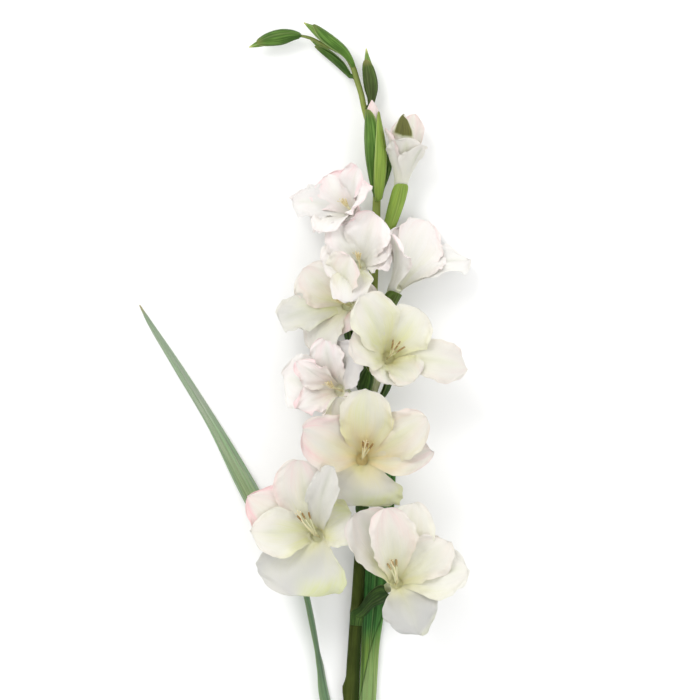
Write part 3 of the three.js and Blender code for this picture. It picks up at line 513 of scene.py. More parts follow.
def catmull(pts, n):
    pts = np.asarray(pts, float)
    m = len(pts)
    out = []
    for k in range(n + 1):
        t = k / n * (m - 1)
        i = min(int(t), m - 2)
        f = t - i
        p0, p1, p2, p3 = pts[max(i - 1, 0)], pts[i], pts[i + 1], pts[min(i + 2, m - 1)]
        out.append(0.5 * (2 * p1 + (p2 - p0) * f + (2 * p0 - 5 * p1 + 4 * p2 - p3) * f * f + (3 * p1 - p0 - 3 * p2 + p3) * f ** 3))
    return np.array(out)


def at_fraction(line, t):
    """A point of a polyline at a fraction of its index range."""
    x = np.clip(np.asarray(t, float), 0, 1) * (len(line) - 1)
    i = np.minimum(x.astype(int), len(line) - 2)
    f = (x - i)[..., None]
    return line[i] * (1 - f) + line[i + 1] * f


def bezier(p, t):
    t = np.asarray(t, float)[:, None]
    s = 1 - t
    return s ** 3 * p[0] + 3 * s * s * t * p[1] + 3 * s * t * t * p[2] + t ** 3 * p[3]


def carried(line, side):
    """Tangent and two sideways directions, carried along a line without spinning."""
    e1 = np.asarray(side, float)
    T, A, B = [], [], []
    for i in range(len(line)):
        t = unit(line[min(i + 1, len(line) - 1)] - line[max(i - 1, 0)])
        e1 = unit(e1 - t * e1.dot(t))
        T.append(t)
        A.append(e1)
        B.append(np.cross(t, e1))
    return np.array(T), np.array(A), np.array(B)


class Waves:
    """Smooth wobble made of a few seeded sine waves."""

    def __init__(self, seed, lowest, highest, count=6):
        r = np.random.default_rng(seed)
        self.k = r.uniform(lowest, highest, (count, 2)) * r.choice([-1, 1], (count, 2))
        self.p = r.uniform(0, 2 * math.pi, count)

    def __call__(self, a, b):
        out = 0
        for (ka, kb), p in zip(self.k, self.p):
            out = out + np.sin(2 * math.pi * (ka * a + kb * b) + p)
        return out / math.sqrt(len(self.p))


# ---------------------------------------------------------------- mesh pieces
class Skin:
    """Collects closed shells, with a UV and a tint for each vertex, into one mesh."""

    def __init__(self):
        self.v, self.f, self.uv, self.tint, self.n = [], [], [], [], 0

    def add(self, verts, faces, uv, tint):
        """tint has six numbers a vertex; what they colour is up to the material."""
        self.v.append(np.asarray(verts, float).reshape(-1, 3))
        self.uv.append(np.asarray(uv, float).reshape(-1, 2))
        self.tint.append(np.asarray(tint, float).reshape(-1, 6))
        self.f += [[i + self.n for i in f] for f in faces]
        self.n += len(self.v[-1])

    def tube(self, rings, uv, tint, start=None, end=None):
        """rings (m, n, 3) closed around, with a cap or a point at each end. uv and tint are (m, n, .)"""
        m, n = rings.shape[:2]
        verts = rings.reshape(-1, 3)
        faces = []
        for i in range(m - 1):
            for j in range(n):
                a, b = i * n + j, i * n + (j + 1) % n
                faces.append([a, b, b + n, a + n])
        s = len(verts)
        p0 = rings[0].mean(0) if start is None else np.asarray(start)
        p1 = rings[-1].mean(0) if end is None else np.asarray(end)
        verts = np.vstack([verts, p0, p1])
        faces += [[s, (j + 1) % n, j] for j in range(n)]
        o = (m - 1) * n
        faces += [[s + 1, o + j, o + (j + 1) % n] for j in range(n)]
        uv = np.vstack([uv.reshape(-1, 2), uv[0].mean(0), uv[-1].mean(0)])
        tint = np.vstack([tint.reshape(-1, 6), tint[0].mean(0), tint[-1].mean(0)])
        self.add(verts, faces, uv, tint)

    def sheet(self, P, N, T, uv, tint, back_tint=None):
        """A thin closed shell about a grid of points P, with normals N and thickness T. The last row is one point."""
        nu, nv = P.shape[:2]
        top = P + N * (T / 2)[..., None]
        low = P - N * (T / 2)[..., None]
        top[..., 2] = np.maximum(top[..., 2], 0.15)
        low[..., 2] = np.maximum(low[..., 2], 0.0)
        m = nu - 1                      # full rows, then the tip
        body = np.concatenate([top[:m].reshape(-1, 3), low[:m].reshape(-1, 3), [P[-1, nv // 2] + [0, 0, 0.05]]])
        q = m * nv
        f = []
        for i in range(m - 1):
            for j in range(nv - 1):
                a = i * nv + j
                f.append([a, a + 1, a + nv + 1, a + nv])
                f.append([q + a, q + a + nv, q + a + nv + 1, q + a + 1])
        for i in range(m - 1):
            a = i * nv
            f.append([a, a + nv, q + a + nv, q + a])
            b = i * nv + nv - 1
            f.append([b + nv, b, q + b, q + b + nv])
        for j in range(nv - 1):
            f.append([j + 1, j, q + j, q + j + 1])
            a = (m - 1) * nv + j
            f.append([a, a + 1, 2 * q])
            f.append([q + a + 1, q + a, 2 * q])
        a, b = (m - 1) * nv, (m - 1) * nv + nv - 1
        f.append([q + a, a, 2 * q])
        f.append([b, q + b, 2 * q])
        back = tint if back_tint is None else back_tint
        self.add(body, f, np.concatenate([uv[:m].reshape(-1, 2), uv[:m].reshape(-1, 2), [uv[-1, nv // 2]]]),
                 np.concatenate([tint[:m].reshape(-1, 6), back[:m].reshape(-1, 6), [tint[-1, nv // 2]]]))

    def object(self, name, node, slot, material):
        v = np.vstack(self.v) * MM
        mesh = bpy.data.meshes.new(name)
        mesh.from_pydata(v.tolist(), [], self.f)
        mesh.validate()
        layer = mesh.uv_layers.new(name="along")
        uv, tint = np.vstack(self.uv), np.vstack(self.tint)
        idx = np.zeros(len(mesh.loops), dtype=np.int32)
        mesh.loops.foreach_get("vertex_index", idx)
        layer.data.foreach_set("uv", uv[idx].ravel().astype(np.float32))
        one = np.ones((len(tint), 1))
        for layer_name, part in (("tint", tint[:, :3]), ("wash", tint[:, 3:])):
            col = mesh.color_attributes.new(name=layer_name, type="FLOAT_COLOR", domain="POINT")
            col.data.foreach_set("color", np.hstack([part, one]).ravel().astype(np.float32))
        mesh.polygons.foreach_set("use_smooth", [True] * len(mesh.polygons))
        mesh.materials.append(material)
        mesh.update()
        ob = bpy.data.objects.new(name, mesh)
        bpy.context.scene.collection.objects.link(ob)
        bm_fix(ob)
        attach(ob, "root")
        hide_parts(node)
        return ob


def bm_fix(ob):
    """All shells face outwards."""
    import bmesh
    bm = bmesh.new()
    bm.from_mesh(ob.data)
    bmesh.ops.recalc_face_normals(bm, faces=bm.faces[:])
    bm.to_mesh(ob.data)
    bm.free()


def normals_of(P):
    du = np.gradient(P, axis=0)
    dv = np.gradient(P, axis=1)
    n = np.cross(du, dv)
    bad = np.linalg.norm(n, axis=-1) < 1e-9
    n = unit(n)
    if bad.any():                        # the tip row takes the row before it
        for i in range(1, len(P)):
            n[i][bad[i]] = n[i - 1][bad[i]]
    return n


# ---------------------------------------------------------------- tepals
def half_width(u, um, e):
    q = np.clip((u - um) / (1 - um), 0, 1)
    return np.where(u < um, 0.3 + 0.7 * smooth(u / um), np.power(np.maximum(1 - q * q, 0), 0.5 * e))


def axes(f):
    a = unit(f["axis"])
    x = np.array([1.0, 0, 0])
    ex = unit(x - a * a.dot(x))
    return a, ex, np.cross(a, ex)


def tepal_points(f, p, U, V, inner, wide=1.0):
    """The mid-surface of a tepal at the parameters U, V (arrays of the same shape)."""
    phi, L, W, a0, a1, cup, bend, twist, ruff, ph, um, e = p
    a, ex, ey = axes(f)
    A0, dA = a0 * RAD, (a1 - a0) * RAD
    A = A0 + dA * U
    r = (R_IN if inner else R_OUT) + L * (math.cos(A0) - np.cos(A)) / dA
    w = L * (np.sin(A) - math.sin(A0)) / dA
    fi = (phi + bend * U * U) * RAD
    c, s = np.cos(fi)[..., None], np.sin(fi)[..., None]
    er, et = c * ex + s * ey, -s * ex + c * ey
    ca, sa = np.cos(A)[..., None], np.sin(A)[..., None]
    nn = -ca * er + sa * a
    tw = (twist * U * RAD)[..., None]
    t2, n2 = np.cos(tw) * et + np.sin(tw) * nn, -np.sin(tw) * et + np.cos(tw) * nn
    sx = W / 2 * half_width(U, um, e) * V * wide
    kap = 0.9 * (1 - U) / np.maximum(r, 4) + cup * U
    flat = np.abs(kap) < 1e-6
    k2 = np.where(flat, 1, kap)
    xl = np.where(flat, sx, np.sin(k2 * sx) / k2)
    nd = np.where(flat, 0, (1 - np.cos(k2 * sx)) / k2)
    rf = ruff * V * V * np.power(U, 1.5) * np.sin(2 * math.pi * (1.9 * U + 0.13 * np.sign(V)) + ph + np.where(V > 0, 1.7, 0))
    P = np.array(f["T"]) + r[..., None] * er + w[..., None] * a + xl[..., None] * t2 + (nd + rf)[..., None] * n2
    P[..., 2] = np.maximum(P[..., 2], Z_MIN)
    return P


def pick(look, word, k, otherwise):
    x = look.get(word, otherwise)
    return x[k] if isinstance(x, (list, tuple)) else x


def tepal(skin, f, k, key, look):
    seed = key * 10 + k
    p = f["tepals"][k]
    inner = k % 2 == 1
    nu, nv = ((50, 39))
    s = np.linspace(0, 1, nu)
    u = 1 - (1 - s) ** 1.5
    v = np.sin(np.linspace(-1, 1, nv) * math.pi / 2 * 0.92) / math.sin(math.pi / 2 * 0.92)
    U, V = np.meshgrid(u, v, indexing="ij")
    side = np.sign(V)
    edge = np.abs(V)
    out, nick = Waves(seed + 500, 0.6, 2.6, 4), Waves(seed + 510, 4.5, 8.0, 4)
    wide = 1 + (0.050 * out(U, side * 0.37) + 0.016 * nick(U, side * 0.37)) * smooth(U, 0.1, 0.5)
    P = tepal_points(f, p, U, V, inner, wide)
    N = normals_of(P)
    # the frill gets finer towards the edge, and differs on the two sides
    r1, r2, r3, r4 = Waves(seed + 1, 1.5, 3.2, 4), Waves(seed + 2, 4.0, 7.5, 5), Waves(seed + 3, 0.5, 1.6, 4), Waves(seed + 4, 8, 13, 5)
    amp = pick(look, "frill", k, 1.0)
    grow = smooth(U, 0.12, 0.6)
    d = amp * grow * (1.7 * edge ** 2.4 * r1(U, 0.4 * V) + 0.95 * edge ** 4.5 * r2(U, 0.3 * V) + 0.22 * edge ** 8 * r4(U, 0.2 * V) + 0.5 * r3(U, V))
    # a folded midrib and soft pleats that run out from the throat
    d += -0.85 * np.exp(-(V / 0.075) ** 2) * smooth(1 - U, 0.02, 0.3) * smooth(U, 0.02, 0.15)
    d += 0.5 * np.exp(-(V / 0.22) ** 2) * smooth(1 - U, 0.02, 0.3) * smooth(U, 0.05, 0.25)
    d += 0.13 * np.sin(V * 34 + 2.2 * r3(U, V)) * smooth(1 - U, 0.0, 0.25) * grow * (1 - edge ** 4)
    # the far end folds back a little
    d += -pick(look, "recurve", k, 2.4) * smooth(U, 0.62, 1.0) * (0.6 + 0.8 * edge ** 2) * (1.0 if inner else 0.7)
    d = d * smooth(1 - U, -0.12, 0.1)
    P = P + N * d[..., None]
    P[..., 2] = np.maximum(P[..., 2], 0.3)
    P[-1] = P[-1, nv // 2]
    T = 0.22 + 0.42 * (1 - U) ** 2 + 0.5 * np.exp(-(V / 0.10) ** 2) * (1 - U) ** 0.7
    T = T * (1 - 0.45 * edge ** 4)
    # colours. pink, throat, lilac-grey painted shade | green keel, yellow wash, gold
    blot = np.clip(0.5 + 0.5 * Waves(seed + 9, 0.4, 1.5, 4)(U, V), 0, 1)
    blot2 = np.clip(0.5 + 0.6 * Waves(seed + 19, 0.4, 1.3, 4)(U, V), 0, 1)
    pink = pick(look, "pink", k, 0.4) * smooth(0.38 * edge ** 1.5 + 0.80 * U, 0.30, 1.10) * (0.30 + 0.90 * blot)
    pink = np.maximum(pink, pick(look, "blush", k, 0.0) * np.exp(-((U - 0.35) / 0.3) ** 2) * (0.4 + 0.6 * blot2))
    throat = look["throat"] * np.exp(-(U / look.get("reach", 0.30)) ** 1.5) * (1 - 0.25 * edge)
    rays = 0.4 * np.exp(-(U / 0.55) ** 2) * np.exp(-(V / 0.22) ** 2)
    # painted shade: a lilac grey laid over each tepal outward from the throat, heaviest on the lower lips
    grey = pick(look, "grey", k, 0.2) * (0.68 + 0.40 * blot2) * smooth(U, 0.02, 0.42)
    keel = pick(look, "keel", k, 0.25) * np.exp(-(V / 0.16) ** 2) * (smooth(U, 0.25, 0.7) * smooth(1 - U, 0.0, 0.2)) * (0.4 if inner else 1)
    wash = pick(look, "wash", k, 0.5) * (0.5 + 0.7 * (1 - blot2)) * np.exp(-(U / look.get("wash_reach", 0.62)) ** 2.4)
    gold = pick(look, "gold", k, 0.0) * np.exp(-(U / look.get("gold_reach", 0.34)) ** 2) * (0.5 + 0.6 * blot)
    own = look.get("green_tip", {}).get(k)
    if own:
        keel = keel + own * smooth(U, 0.62, 0.72) * smooth(1 - edge, 0.0, 0.3)
    start = look.get("rim_from", 0.66)
    rim = pick(look, "rim", k, 0.0) * smooth(0.78 * U + 0.22 * edge ** 3, start, start + 0.24) * smooth(V, -0.35, 0.45)
    wash, keel, grey = wash + rim, keel + look.get("rim_green", 0.45) * rim, grey * (1 - 0.9 * np.clip(rim, 0, 1))
    tint = np.stack([pink, np.clip(throat + rays * look["throat"], 0, 1), grey, keel * (1 if own else 0.4), wash, gold], -1)
    # painted shade: the back face gets extra grey, less on the flowers given the lighter tepal material
    back = np.stack([pink * 0.8, 0.35 * throat, grey + (0.02 if look.get("painted_light") else 0.10), keel, 0.5 * wash, 0 * gold], -1)
    uv = np.stack([U, 0.5 + 0.5 * V], -1)
    a = axes(f)[0]
    if not inner:                        # the foot of an outer tepal runs down over the tube
        pts, _ = tube_curve(f)
        length = np.linalg.norm(pts[3] - pts[0])
        foot = []
        for q in (1.0, 0.75, 0.5, 0.25):
            w = min(6.0, 0.3 * length) * q
            rad = tube_radius(1 - w / (1.2 * length)) + 0.35 * (1 - q) + 0.12
            rel = P[0] - np.array(f["T"])
            up = rel.dot(a)[:, None] * a
            foot.append(np.array(f["T"]) + up - a * w + (rel - up) * (rad / R_OUT))
        P = np.concatenate([foot, P])
        grab = lambda x, q=None: np.concatenate([np.repeat(x[:1], 4, axis=0), x])
        T = grab(T)
        T[:4] *= np.array([0.1, 0.5, 0.8, 1.0])[:, None]
        tint, back, uv = grab(tint), grab(back), grab(uv)
        uv[:4, :, 0] = -np.array([0.1, 0.075, 0.05, 0.025])[:, None]
        back[:4, :, 3] += np.array([0.35, 0.25, 0.15, 0.06])[:, None]
    N = normals_of(P)
    mid = len(P) // 2
    if N[mid, nv // 2].dot(a) < 0:       # the upper face looks into the flower
        N = -N
    skin.sheet(P, N, T, uv, np.clip(tint, 0, 1), np.clip(back, 0, 1))


# ---------------------------------------------------------------- the stem line and the floret tubes
STEM_LINE = catmull(STEM, 60)
STEM_SCALE = -164.72


def stem_at(y):
    for i in range(len(STEM_LINE) - 1):
        a, b = STEM_LINE[i], STEM_LINE[i + 1]
        if a[1] <= y <= b[1]:
            t = (y - a[1]) / (b[1] - a[1])
            return a + (b - a) * t, unit((b - a)[:3])
    return STEM_LINE[-1], unit((STEM_LINE[-1] - STEM_LINE[-2])[:3])


def tube_curve(f):
    s, t = stem_at(f["S"])
    c, T, a = s[:3], np.array(f["T"]), axes(f)[0]
    d = T - c
    d = unit(d - t * d.dot(t))
    p0 = c + d * (s[3] + 3.7)
    L = np.linalg.norm(T - p0)
    return [p0, p0 + t * 0.34 * L + d * 0.06 * L, T - a * 0.4 * L, T], d


def tube_radius(t):
    return TUBE_R0 + (TUBE_R - TUBE_R0) * np.power(np.clip(t, 0, 1), 1.6)


def perianth(f, key, look, name, mat):
    skin = Skin()
    pts, side = tube_curve(f)
    m, n = 28, 24
    t = np.linspace(0, 1, m)
    s, up = stem_at(f["S"])
    line = np.vstack([[s[:3] + side * s[3] * 0.4 - up * 3.5, s[:3] + side * (s[3] + 0.6) - up * 1.6], bezier(pts, t)[1:]])
    m = len(line)
    t = np.concatenate([[0, 0], t[1:]])
    _, E1, E2 = carried(line, side)
    ang = np.arange(n) / n * 2 * math.pi
    r = tube_radius(t)
    ribs = 1 + 0.035 * np.cos(6 * ang)[None] * smooth(t, 0.1, 0.6)[:, None]
    rings = line[:, None] + (r[:, None] * ribs)[..., None] * (np.cos(ang)[None, :, None] * E1[:, None] + np.sin(ang)[None, :, None] * E2[:, None])
    inner_r, depth = [5.5, 5.2, 4.5, 3.2, 1.6], [0.2, -0.6, -1.7, -3.0, -3.9]
    a = axes(f)[0]
    extra = [line[-1] + a * w + q * (np.cos(ang)[:, None] * E1[-1] + np.sin(ang)[:, None] * E2[-1]) for q, w in zip(inner_r, depth)]
    rings = np.concatenate([rings, np.array(extra)])
    mm = len(rings)
    uv = np.stack(np.meshgrid(np.concatenate([t * 0.6, np.linspace(0.7, 1, 5)]), ang / (2 * math.pi), indexing="ij"), -1)
    tint = np.zeros((mm, n, 6))
    tint[..., 1] = look["throat"] * np.concatenate([0.55 - 0.45 * t, np.full(5, 1.0)])[:, None]
    tint[..., 3] = np.concatenate([0.6 * (1 - t) + 0.12, np.zeros(5)])[:, None]
    tint[..., 4] = 0.6
    tint[-5:, :, 5] = pick(look, "gold", 0, 0.0)
    skin.tube(rings, uv, tint, end=line[-1] - a * 4.2)
    for k in range(6):
        tepal(skin, f, k, key, look)
    return skin.object(name, name, "tepal", mat)


# ---------------------------------------------------------------- bracts
def arc_shell(skin, line, side, phi0, half, radius, thick, tint_fn, seed, keel=0.35, from_tip=False, apart=None):
    """A sheath of arc section swept along a line, pointed at the far end."""
    m, n = len(line), 23
    if from_tip:
        _, E1, E2 = carried(line[::-1], side)
        E1, E2 = E1[::-1], -E2[::-1]
    else:
        _, E1, E2 = carried(line, side)
    t = np.linspace(0, 1, m)
    v = np.linspace(-1, 1, n)
    U, V = np.meshgrid(t, v, indexing="ij")
    H, R = half[:, None] * V, radius[:, None] + 0 * V
    wob = Waves(seed, 0.5, 1.8, 4)
    R = R + 0.18 * wob(U, V) * smooth(U, 0.1, 0.5) + keel * np.exp(-(V / 0.09) ** 2) * (1 - U)
    R = R + 0.06 * np.cos(V * 42) * (1 - U ** 3)
    ang = phi0 + H
    if apart is not None:                # the whole sheath stands off to its own side
        line = line + apart[:, None] * (math.cos(phi0) * E1 + math.sin(phi0) * E2)
    P = line[:, None] + R[..., None] * (np.cos(ang)[..., None] * E1[:, None] + np.sin(ang)[..., None] * E2[:, None])
    P[..., 2] = np.maximum(P[..., 2], 0.3)
    P[-1] = P[-1, n // 2]
    N = normals_of(P)
    T = np.full_like(U, thick) * (1 - 0.6 * np.abs(V) ** 3)
    uv = np.stack([U, 0.5 + 0.5 * V], -1)
    skin.sheet(P, N, T, uv, tint_fn(U, V))


def bract_half(t, wide, knee=0.55, power=1.7):
    return wide * np.where(t < knee, 1, np.sqrt(np.maximum(0.0004, 1 - np.power(np.clip((t - knee) / (1 - knee), 0, 1), power))))


def bract_tint(dark, edge=0.8, dry=0.0, bright=0.0, tan=0.0):
    """deep, pale edge and keel, dry | bright yellow-green, near-black green partly painted shade, nothing"""
    def fn(U, V):
        e = (edge * smooth(np.abs(V), 0.84, 0.99) * (0.4 + 0.6 * U) + 0.22 * np.exp(-(V / 0.05) ** 2)) * (1 - 0.55 * smooth(dark, 0.6, 1.0))
        deep = dark * (1 - 0.45 * smooth(U, 0.5, 1.0)) + 0.25 * smooth(np.abs(V), 0.5, 0.8) * (1 - smooth(np.abs(V), 0.84, 0.95))
        q = 1 - 0.85 * smooth(dark, 1.0, 1.4)
        # near-black green: the bract's deep green, deepened by painted shade where a flower lies over it; past 1
        # (flower 9) it covers the whole bract
        black = smooth(dark, 0.45, 1.1) * (1 - (1 - q) * 0.5 * (1 - smooth(U, 0.24, 0.42))) * (1.05 - 0.45 * q * smooth(U, 0.55, 1.0)) * (1 - 0.35 * q * np.exp(-((np.abs(V) - 0.55) / 0.12) ** 2)) * (1 - 0.6 * q * smooth(np.abs(V), 0.86, 1.0))
        return np.clip(np.stack([deep, e, np.maximum(dry * smooth(U, 0.8, 1.0), tan), bright + 0 * U, black, 0 * U], -1), 0, 1)
    return fn


def floret_bract(f, key, which, name, mat):
    """A green sheath that clasps the stem at its foot and opens along the tube."""
    skin = Skin()
    pts, side = tube_curve(f)
    outer = which == "outer"
    end = f["bract"][0] if outer else f["bract"][1]
    look = LOOKS[key]
    b = list(f["bract"]) + [0, 0, 0, 1.7, 0.6, None, 0, 1.62, None][len(f["bract"]):]
    turn = (b[2] if outer or b[5] is None else b[5]) * RAD
    puff, apart = b[3 if outer else 4], b[6] if outer or b[8] is None else b[8]
    k = np.linspace(0, 1, 40)
    t = 0.015 + (end - 0.015) * k
    line = bezier(pts, t)
    r = 1.9 + 5.0 * t ** 1.6 + 0.45 + BRACT_T / 2 + puff * np.sin(np.pi * np.minimum(1, k * 1.05)) * 0.8
    half = bract_half(k, b[7] if outer else 1.2)
    apart = apart * smooth(k / 0.45)
    if outer:
        s, up = stem_at(f["S"])
        low, _ = stem_at(f["S"] - 13)
        foot = np.array([low[:3], stem_at(f["S"] - 8)[0][:3] + side * 0.3, s[:3] + side * 1.6 - up * 3.0, s[:3] + side * (s[3] + 1.4) + up * 0.5])
        ctrl = np.vstack([np.hstack([foot, [[low[3] + 0.1], [s[3] + 0.45], [s[3] + 0.9], [4.6]]]), np.hstack([line[[9, 16, 23, 30, 36, 39]], r[[9, 16, 23, 30, 36, 39], None]])])
        ways = catmull(ctrl, 52)
        line, r = ways[:, :3], ways[:, 3]
        k = np.linspace(0, 1, 53)
        half = bract_half(k, b[7], 0.66, 1.8) * (1 - 0.25 * (1 - smooth(k, 0, 0.35)))
        apart = b[6] * smooth(k, 0.25, 0.6)
    arc_shell(skin, line, side, (0 if outer else math.pi) + turn, half, r, 0.62, bract_tint(look.get("bract", 0.5), bright=look.get("bright", 0.0), tan=look.get("tan", 0.0)), key * 7 + outer, apart=apart)
    return skin.object(name, name, "bract", mat)


# ---------------------------------------------------------------- stamens and style
def rod(skin, pts, radii, tint, n=10, steps=18, flat=1.0):
    rows = catmull([list(p) + [r] for p, r in zip(pts, radii)], steps)
    line, r = rows[:, :3], np.maximum(rows[:, 3], 0.06)
    _, E1, E2 = carried(line, [0.31, 0.2, 0.93])
    ang = np.arange(n) / n * 2 * math.pi
    rings = line[:, None] + r[:, None, None] * (np.cos(ang)[None, :, None] * E1[:, None] + flat * np.sin(ang)[None, :, None] * E2[:, None])
    uv = np.stack(np.meshgrid(np.linspace(0, 1, len(line)), ang / (2 * math.pi), indexing="ij"), -1)
    colour = np.zeros(rings.shape[:2] + (6,))
    colour[..., :len(tint)] = tint
    skin.tube(rings, uv, colour)


def stamens(f, key, name, mat):
    """Three filaments with two-lobed anthers, and a style with three lobes. tint: anther, stigma, dark"""
    skin = Skin()
    a, ex, ey = axes(f)
    st, look = f["stamen"], LOOKS[key]
    T = np.array(f["T"])
    at = lambda x, y, w: T + x * ex + y * ey + w * a
    lean = st["lean"] * RAD
    cx, sy = math.cos(lean), math.sin(lean)
    dark, size = look.get("anther", 0.6), look.get("anther_size", 1.0)
    fil, anth, sty = [0.0, 0, 0], [1.0, 0, dark], [0.0, 1.0, 0]
    for k in range(3):
        an = lean + (k - 1) * st["fan"] * RAD
        c, s = math.cos(an), math.sin(an)
        L = st["len"] * (1 - 0.09 * abs(k - 1) + 0.04 * k)
        tip = at(st["out"] * 0.8 * c, st["out"] * 0.8 * s, L * 0.9)
        rod(skin, [at(1.3 * c, 1.3 * s, -7), at(0.9 * c, 0.9 * s, 1.2), at(st["out"] * 0.4 * c, st["out"] * 0.4 * s, L * 0.55), tip + unit(tip - T) * 0.4], [0.8, 0.6, 0.46, 0.26], fil)
        d = unit(unit(c * ex + s * ey) * 0.75 + a * 0.8)
        b = unit(np.cross(d, a))
        for q in (-0.42, 0.42):          # the two sacs of an anther, arched a little, split at the foot
            o = tip + b * q * size
            far = size * look.get("anther_long", 1.0)
            rod(skin, [o - d * 1.8 + b * q * 0.5, o + d * 0.6 - a * 0.1, o + d * 4.2 * far + a * 0.2, o + d * 7.4 * far - a * 0.5, o + d * 8.4 * far - a * 1.0], [0.2, 0.54 * size, 0.6 * size, 0.42 * size, 0.12], anth, n=10, steps=16)
    q = [at(-1.2 * cx, -1.2 * sy, -7), at(-0.4 * cx, -0.4 * sy, 1.2), at(0.6 * cx, 0.6 * sy, st["len"] * 0.45), at(st["out"] * 0.45 * cx - 1.2 * sy, st["out"] * 0.45 * sy + 1.2 * cx, st["len"] * 0.95),
         at(st["out"] * 1.0 * cx - 2 * sy, st["out"] * 1.0 * sy + 2 * cx, st["len"] * 1.2)]
    rod(skin, q, [0.6, 0.46, 0.38, 0.34, 0.32], sty, steps=24)
    for k in range(3):
        an, e = lean + (k - 1) * 1.0, q[-1]
        d = unit((math.cos(an) * ex + math.sin(an) * ey) * 0.9 + a * 0.55)
        rod(skin, [e - d * 0.4, e + d * 1.5 + a * 0.3, e + d * 3.2, e + d * 3.9 - a * 0.4], [0.28, 0.45, 0.8, 0.2], sty, n=10, steps=10, flat=0.4)
    return skin.object(name, name, "stamen", mat)


# ---------------------------------------------------------------- stem
def stem(mat):
    """tint: upper part, joint, cut face | dark brownish patches (heavier on one side, partly painted shade), painted
    shade down one side, nothing
    """
    skin = Skin()
    rows = catmull(STEM, 60 * 5)
    line, r = rows[:, :3], rows[:, 3].copy()
    nodes = [f["S"] for f in FLORETS.values()] + [STEM[0][1] + 78, STEM[0][1] + 176]
    for y in nodes:                      # the stem is a little thicker where each bract or leaf joins
        r = r + 0.45 * np.exp(-((line[:, 1] - y + 2) / 3.0) ** 2) * (line[:, 1] < y + 12)
    _, E1, E2 = carried(line, [1, 0, 0])
    n = 44
    ang = np.arange(n) / n * 2 * math.pi
    A, S = np.meshgrid(ang, np.linspace(0, 1, len(line)))
    rib = 0.014 * np.cos(11 * A + 3 * np.sin(5 * S)) + 0.012 * np.cos(7 * A - 9 * S) + 0.007 * np.cos(19 * A + 4 * S)
    lump = 0.012 * Waves(3, 6, 16, 5)(S, A / (2 * math.pi) * 0 + 0.3 * np.cos(A))
    R = r[:, None] * (1 - 0.015 + rib + lump)
    scale = STEM_SCALE                   # a small scale leaf stands off the stem on one side
    leftness = smooth(-np.cos(A), 0.55, 0.97)
    lift = smooth(line[:, 1], scale - 26, scale - 6) * (1 - smooth(line[:, 1], scale - 1.5, scale + 0.5))
    R = R + 2.6 * leftness * lift[:, None]
    rings = line[:, None] + R[..., None] * (np.cos(ang)[None, :, None] * E1[:, None] + np.sin(ang)[None, :, None] * E2[:, None])
    rings[..., 2] = np.maximum(rings[..., 2], 0.0)
    along = np.concatenate([[0], np.cumsum(np.linalg.norm(np.diff(line, axis=0), axis=1))])
    uv = np.stack(np.meshgrid(along / 100.0, ang / (2 * math.pi), indexing="ij"), -1)
    tint = np.zeros(rings.shape[:2] + (6,))
    tint[..., 0] = (smooth(along / along[-1], 0.45, 0.80) * (1 - 0.55 * smooth(along / along[-1], 0.86, 0.94)))[:, None]
    # dark brownish patches, partly the stem's own colour and partly painted shade, gathered on the side away from the
    # key light
    tint[..., 3] = np.clip(0.35 + 0.5 * Waves(8, 1.5, 5, 5)(S, 0.4 * np.cos(A)), 0, 1) * (0.35 + 0.65 * smooth(np.cos(A - 0.2), -0.2, 1))
    # painted shade: the stem darkens down its +x side, away from the key light
    tint[..., 4] = smooth(np.cos(A + 0.25), 0.15, 0.85) * (0.55 + 0.45 * np.clip(0.5 + 0.6 * Waves(12, 1.0, 4, 4)(S, 0.2 * np.cos(A)), 0, 1))
    for y in nodes:
        tint[..., 1] += (0.8 * np.exp(-((line[:, 1] - y + 1) / 2.2) ** 2))[:, None]
    # the cut end: a slightly hollow pale face inside a green rim
    t0 = unit(line[1] - line[0])
    face = np.array([line[0] + (rings[0] - line[0]) * k + t0 * b for k, b in ((0.2, 0.35), (0.4, 0.28), (0.6, 0.3), (0.8, 0.15), (0.93, 0.02))])
    face_tint = np.zeros(face.shape[:2] + (6,))
    face_tint[..., 2] = np.array([1, 1, 1, 1, 0.8])[:, None]
    face_uv = np.stack(np.meshgrid(np.linspace(0, 0.05, len(face)), ang / (2 * math.pi), indexing="ij"), -1)
    skin.tube(np.concatenate([face, rings]), np.concatenate([face_uv, uv]), np.concatenate([face_tint, np.clip(tint, 0, 1)]))
    return skin.object("stem", "stem", "stem", mat)


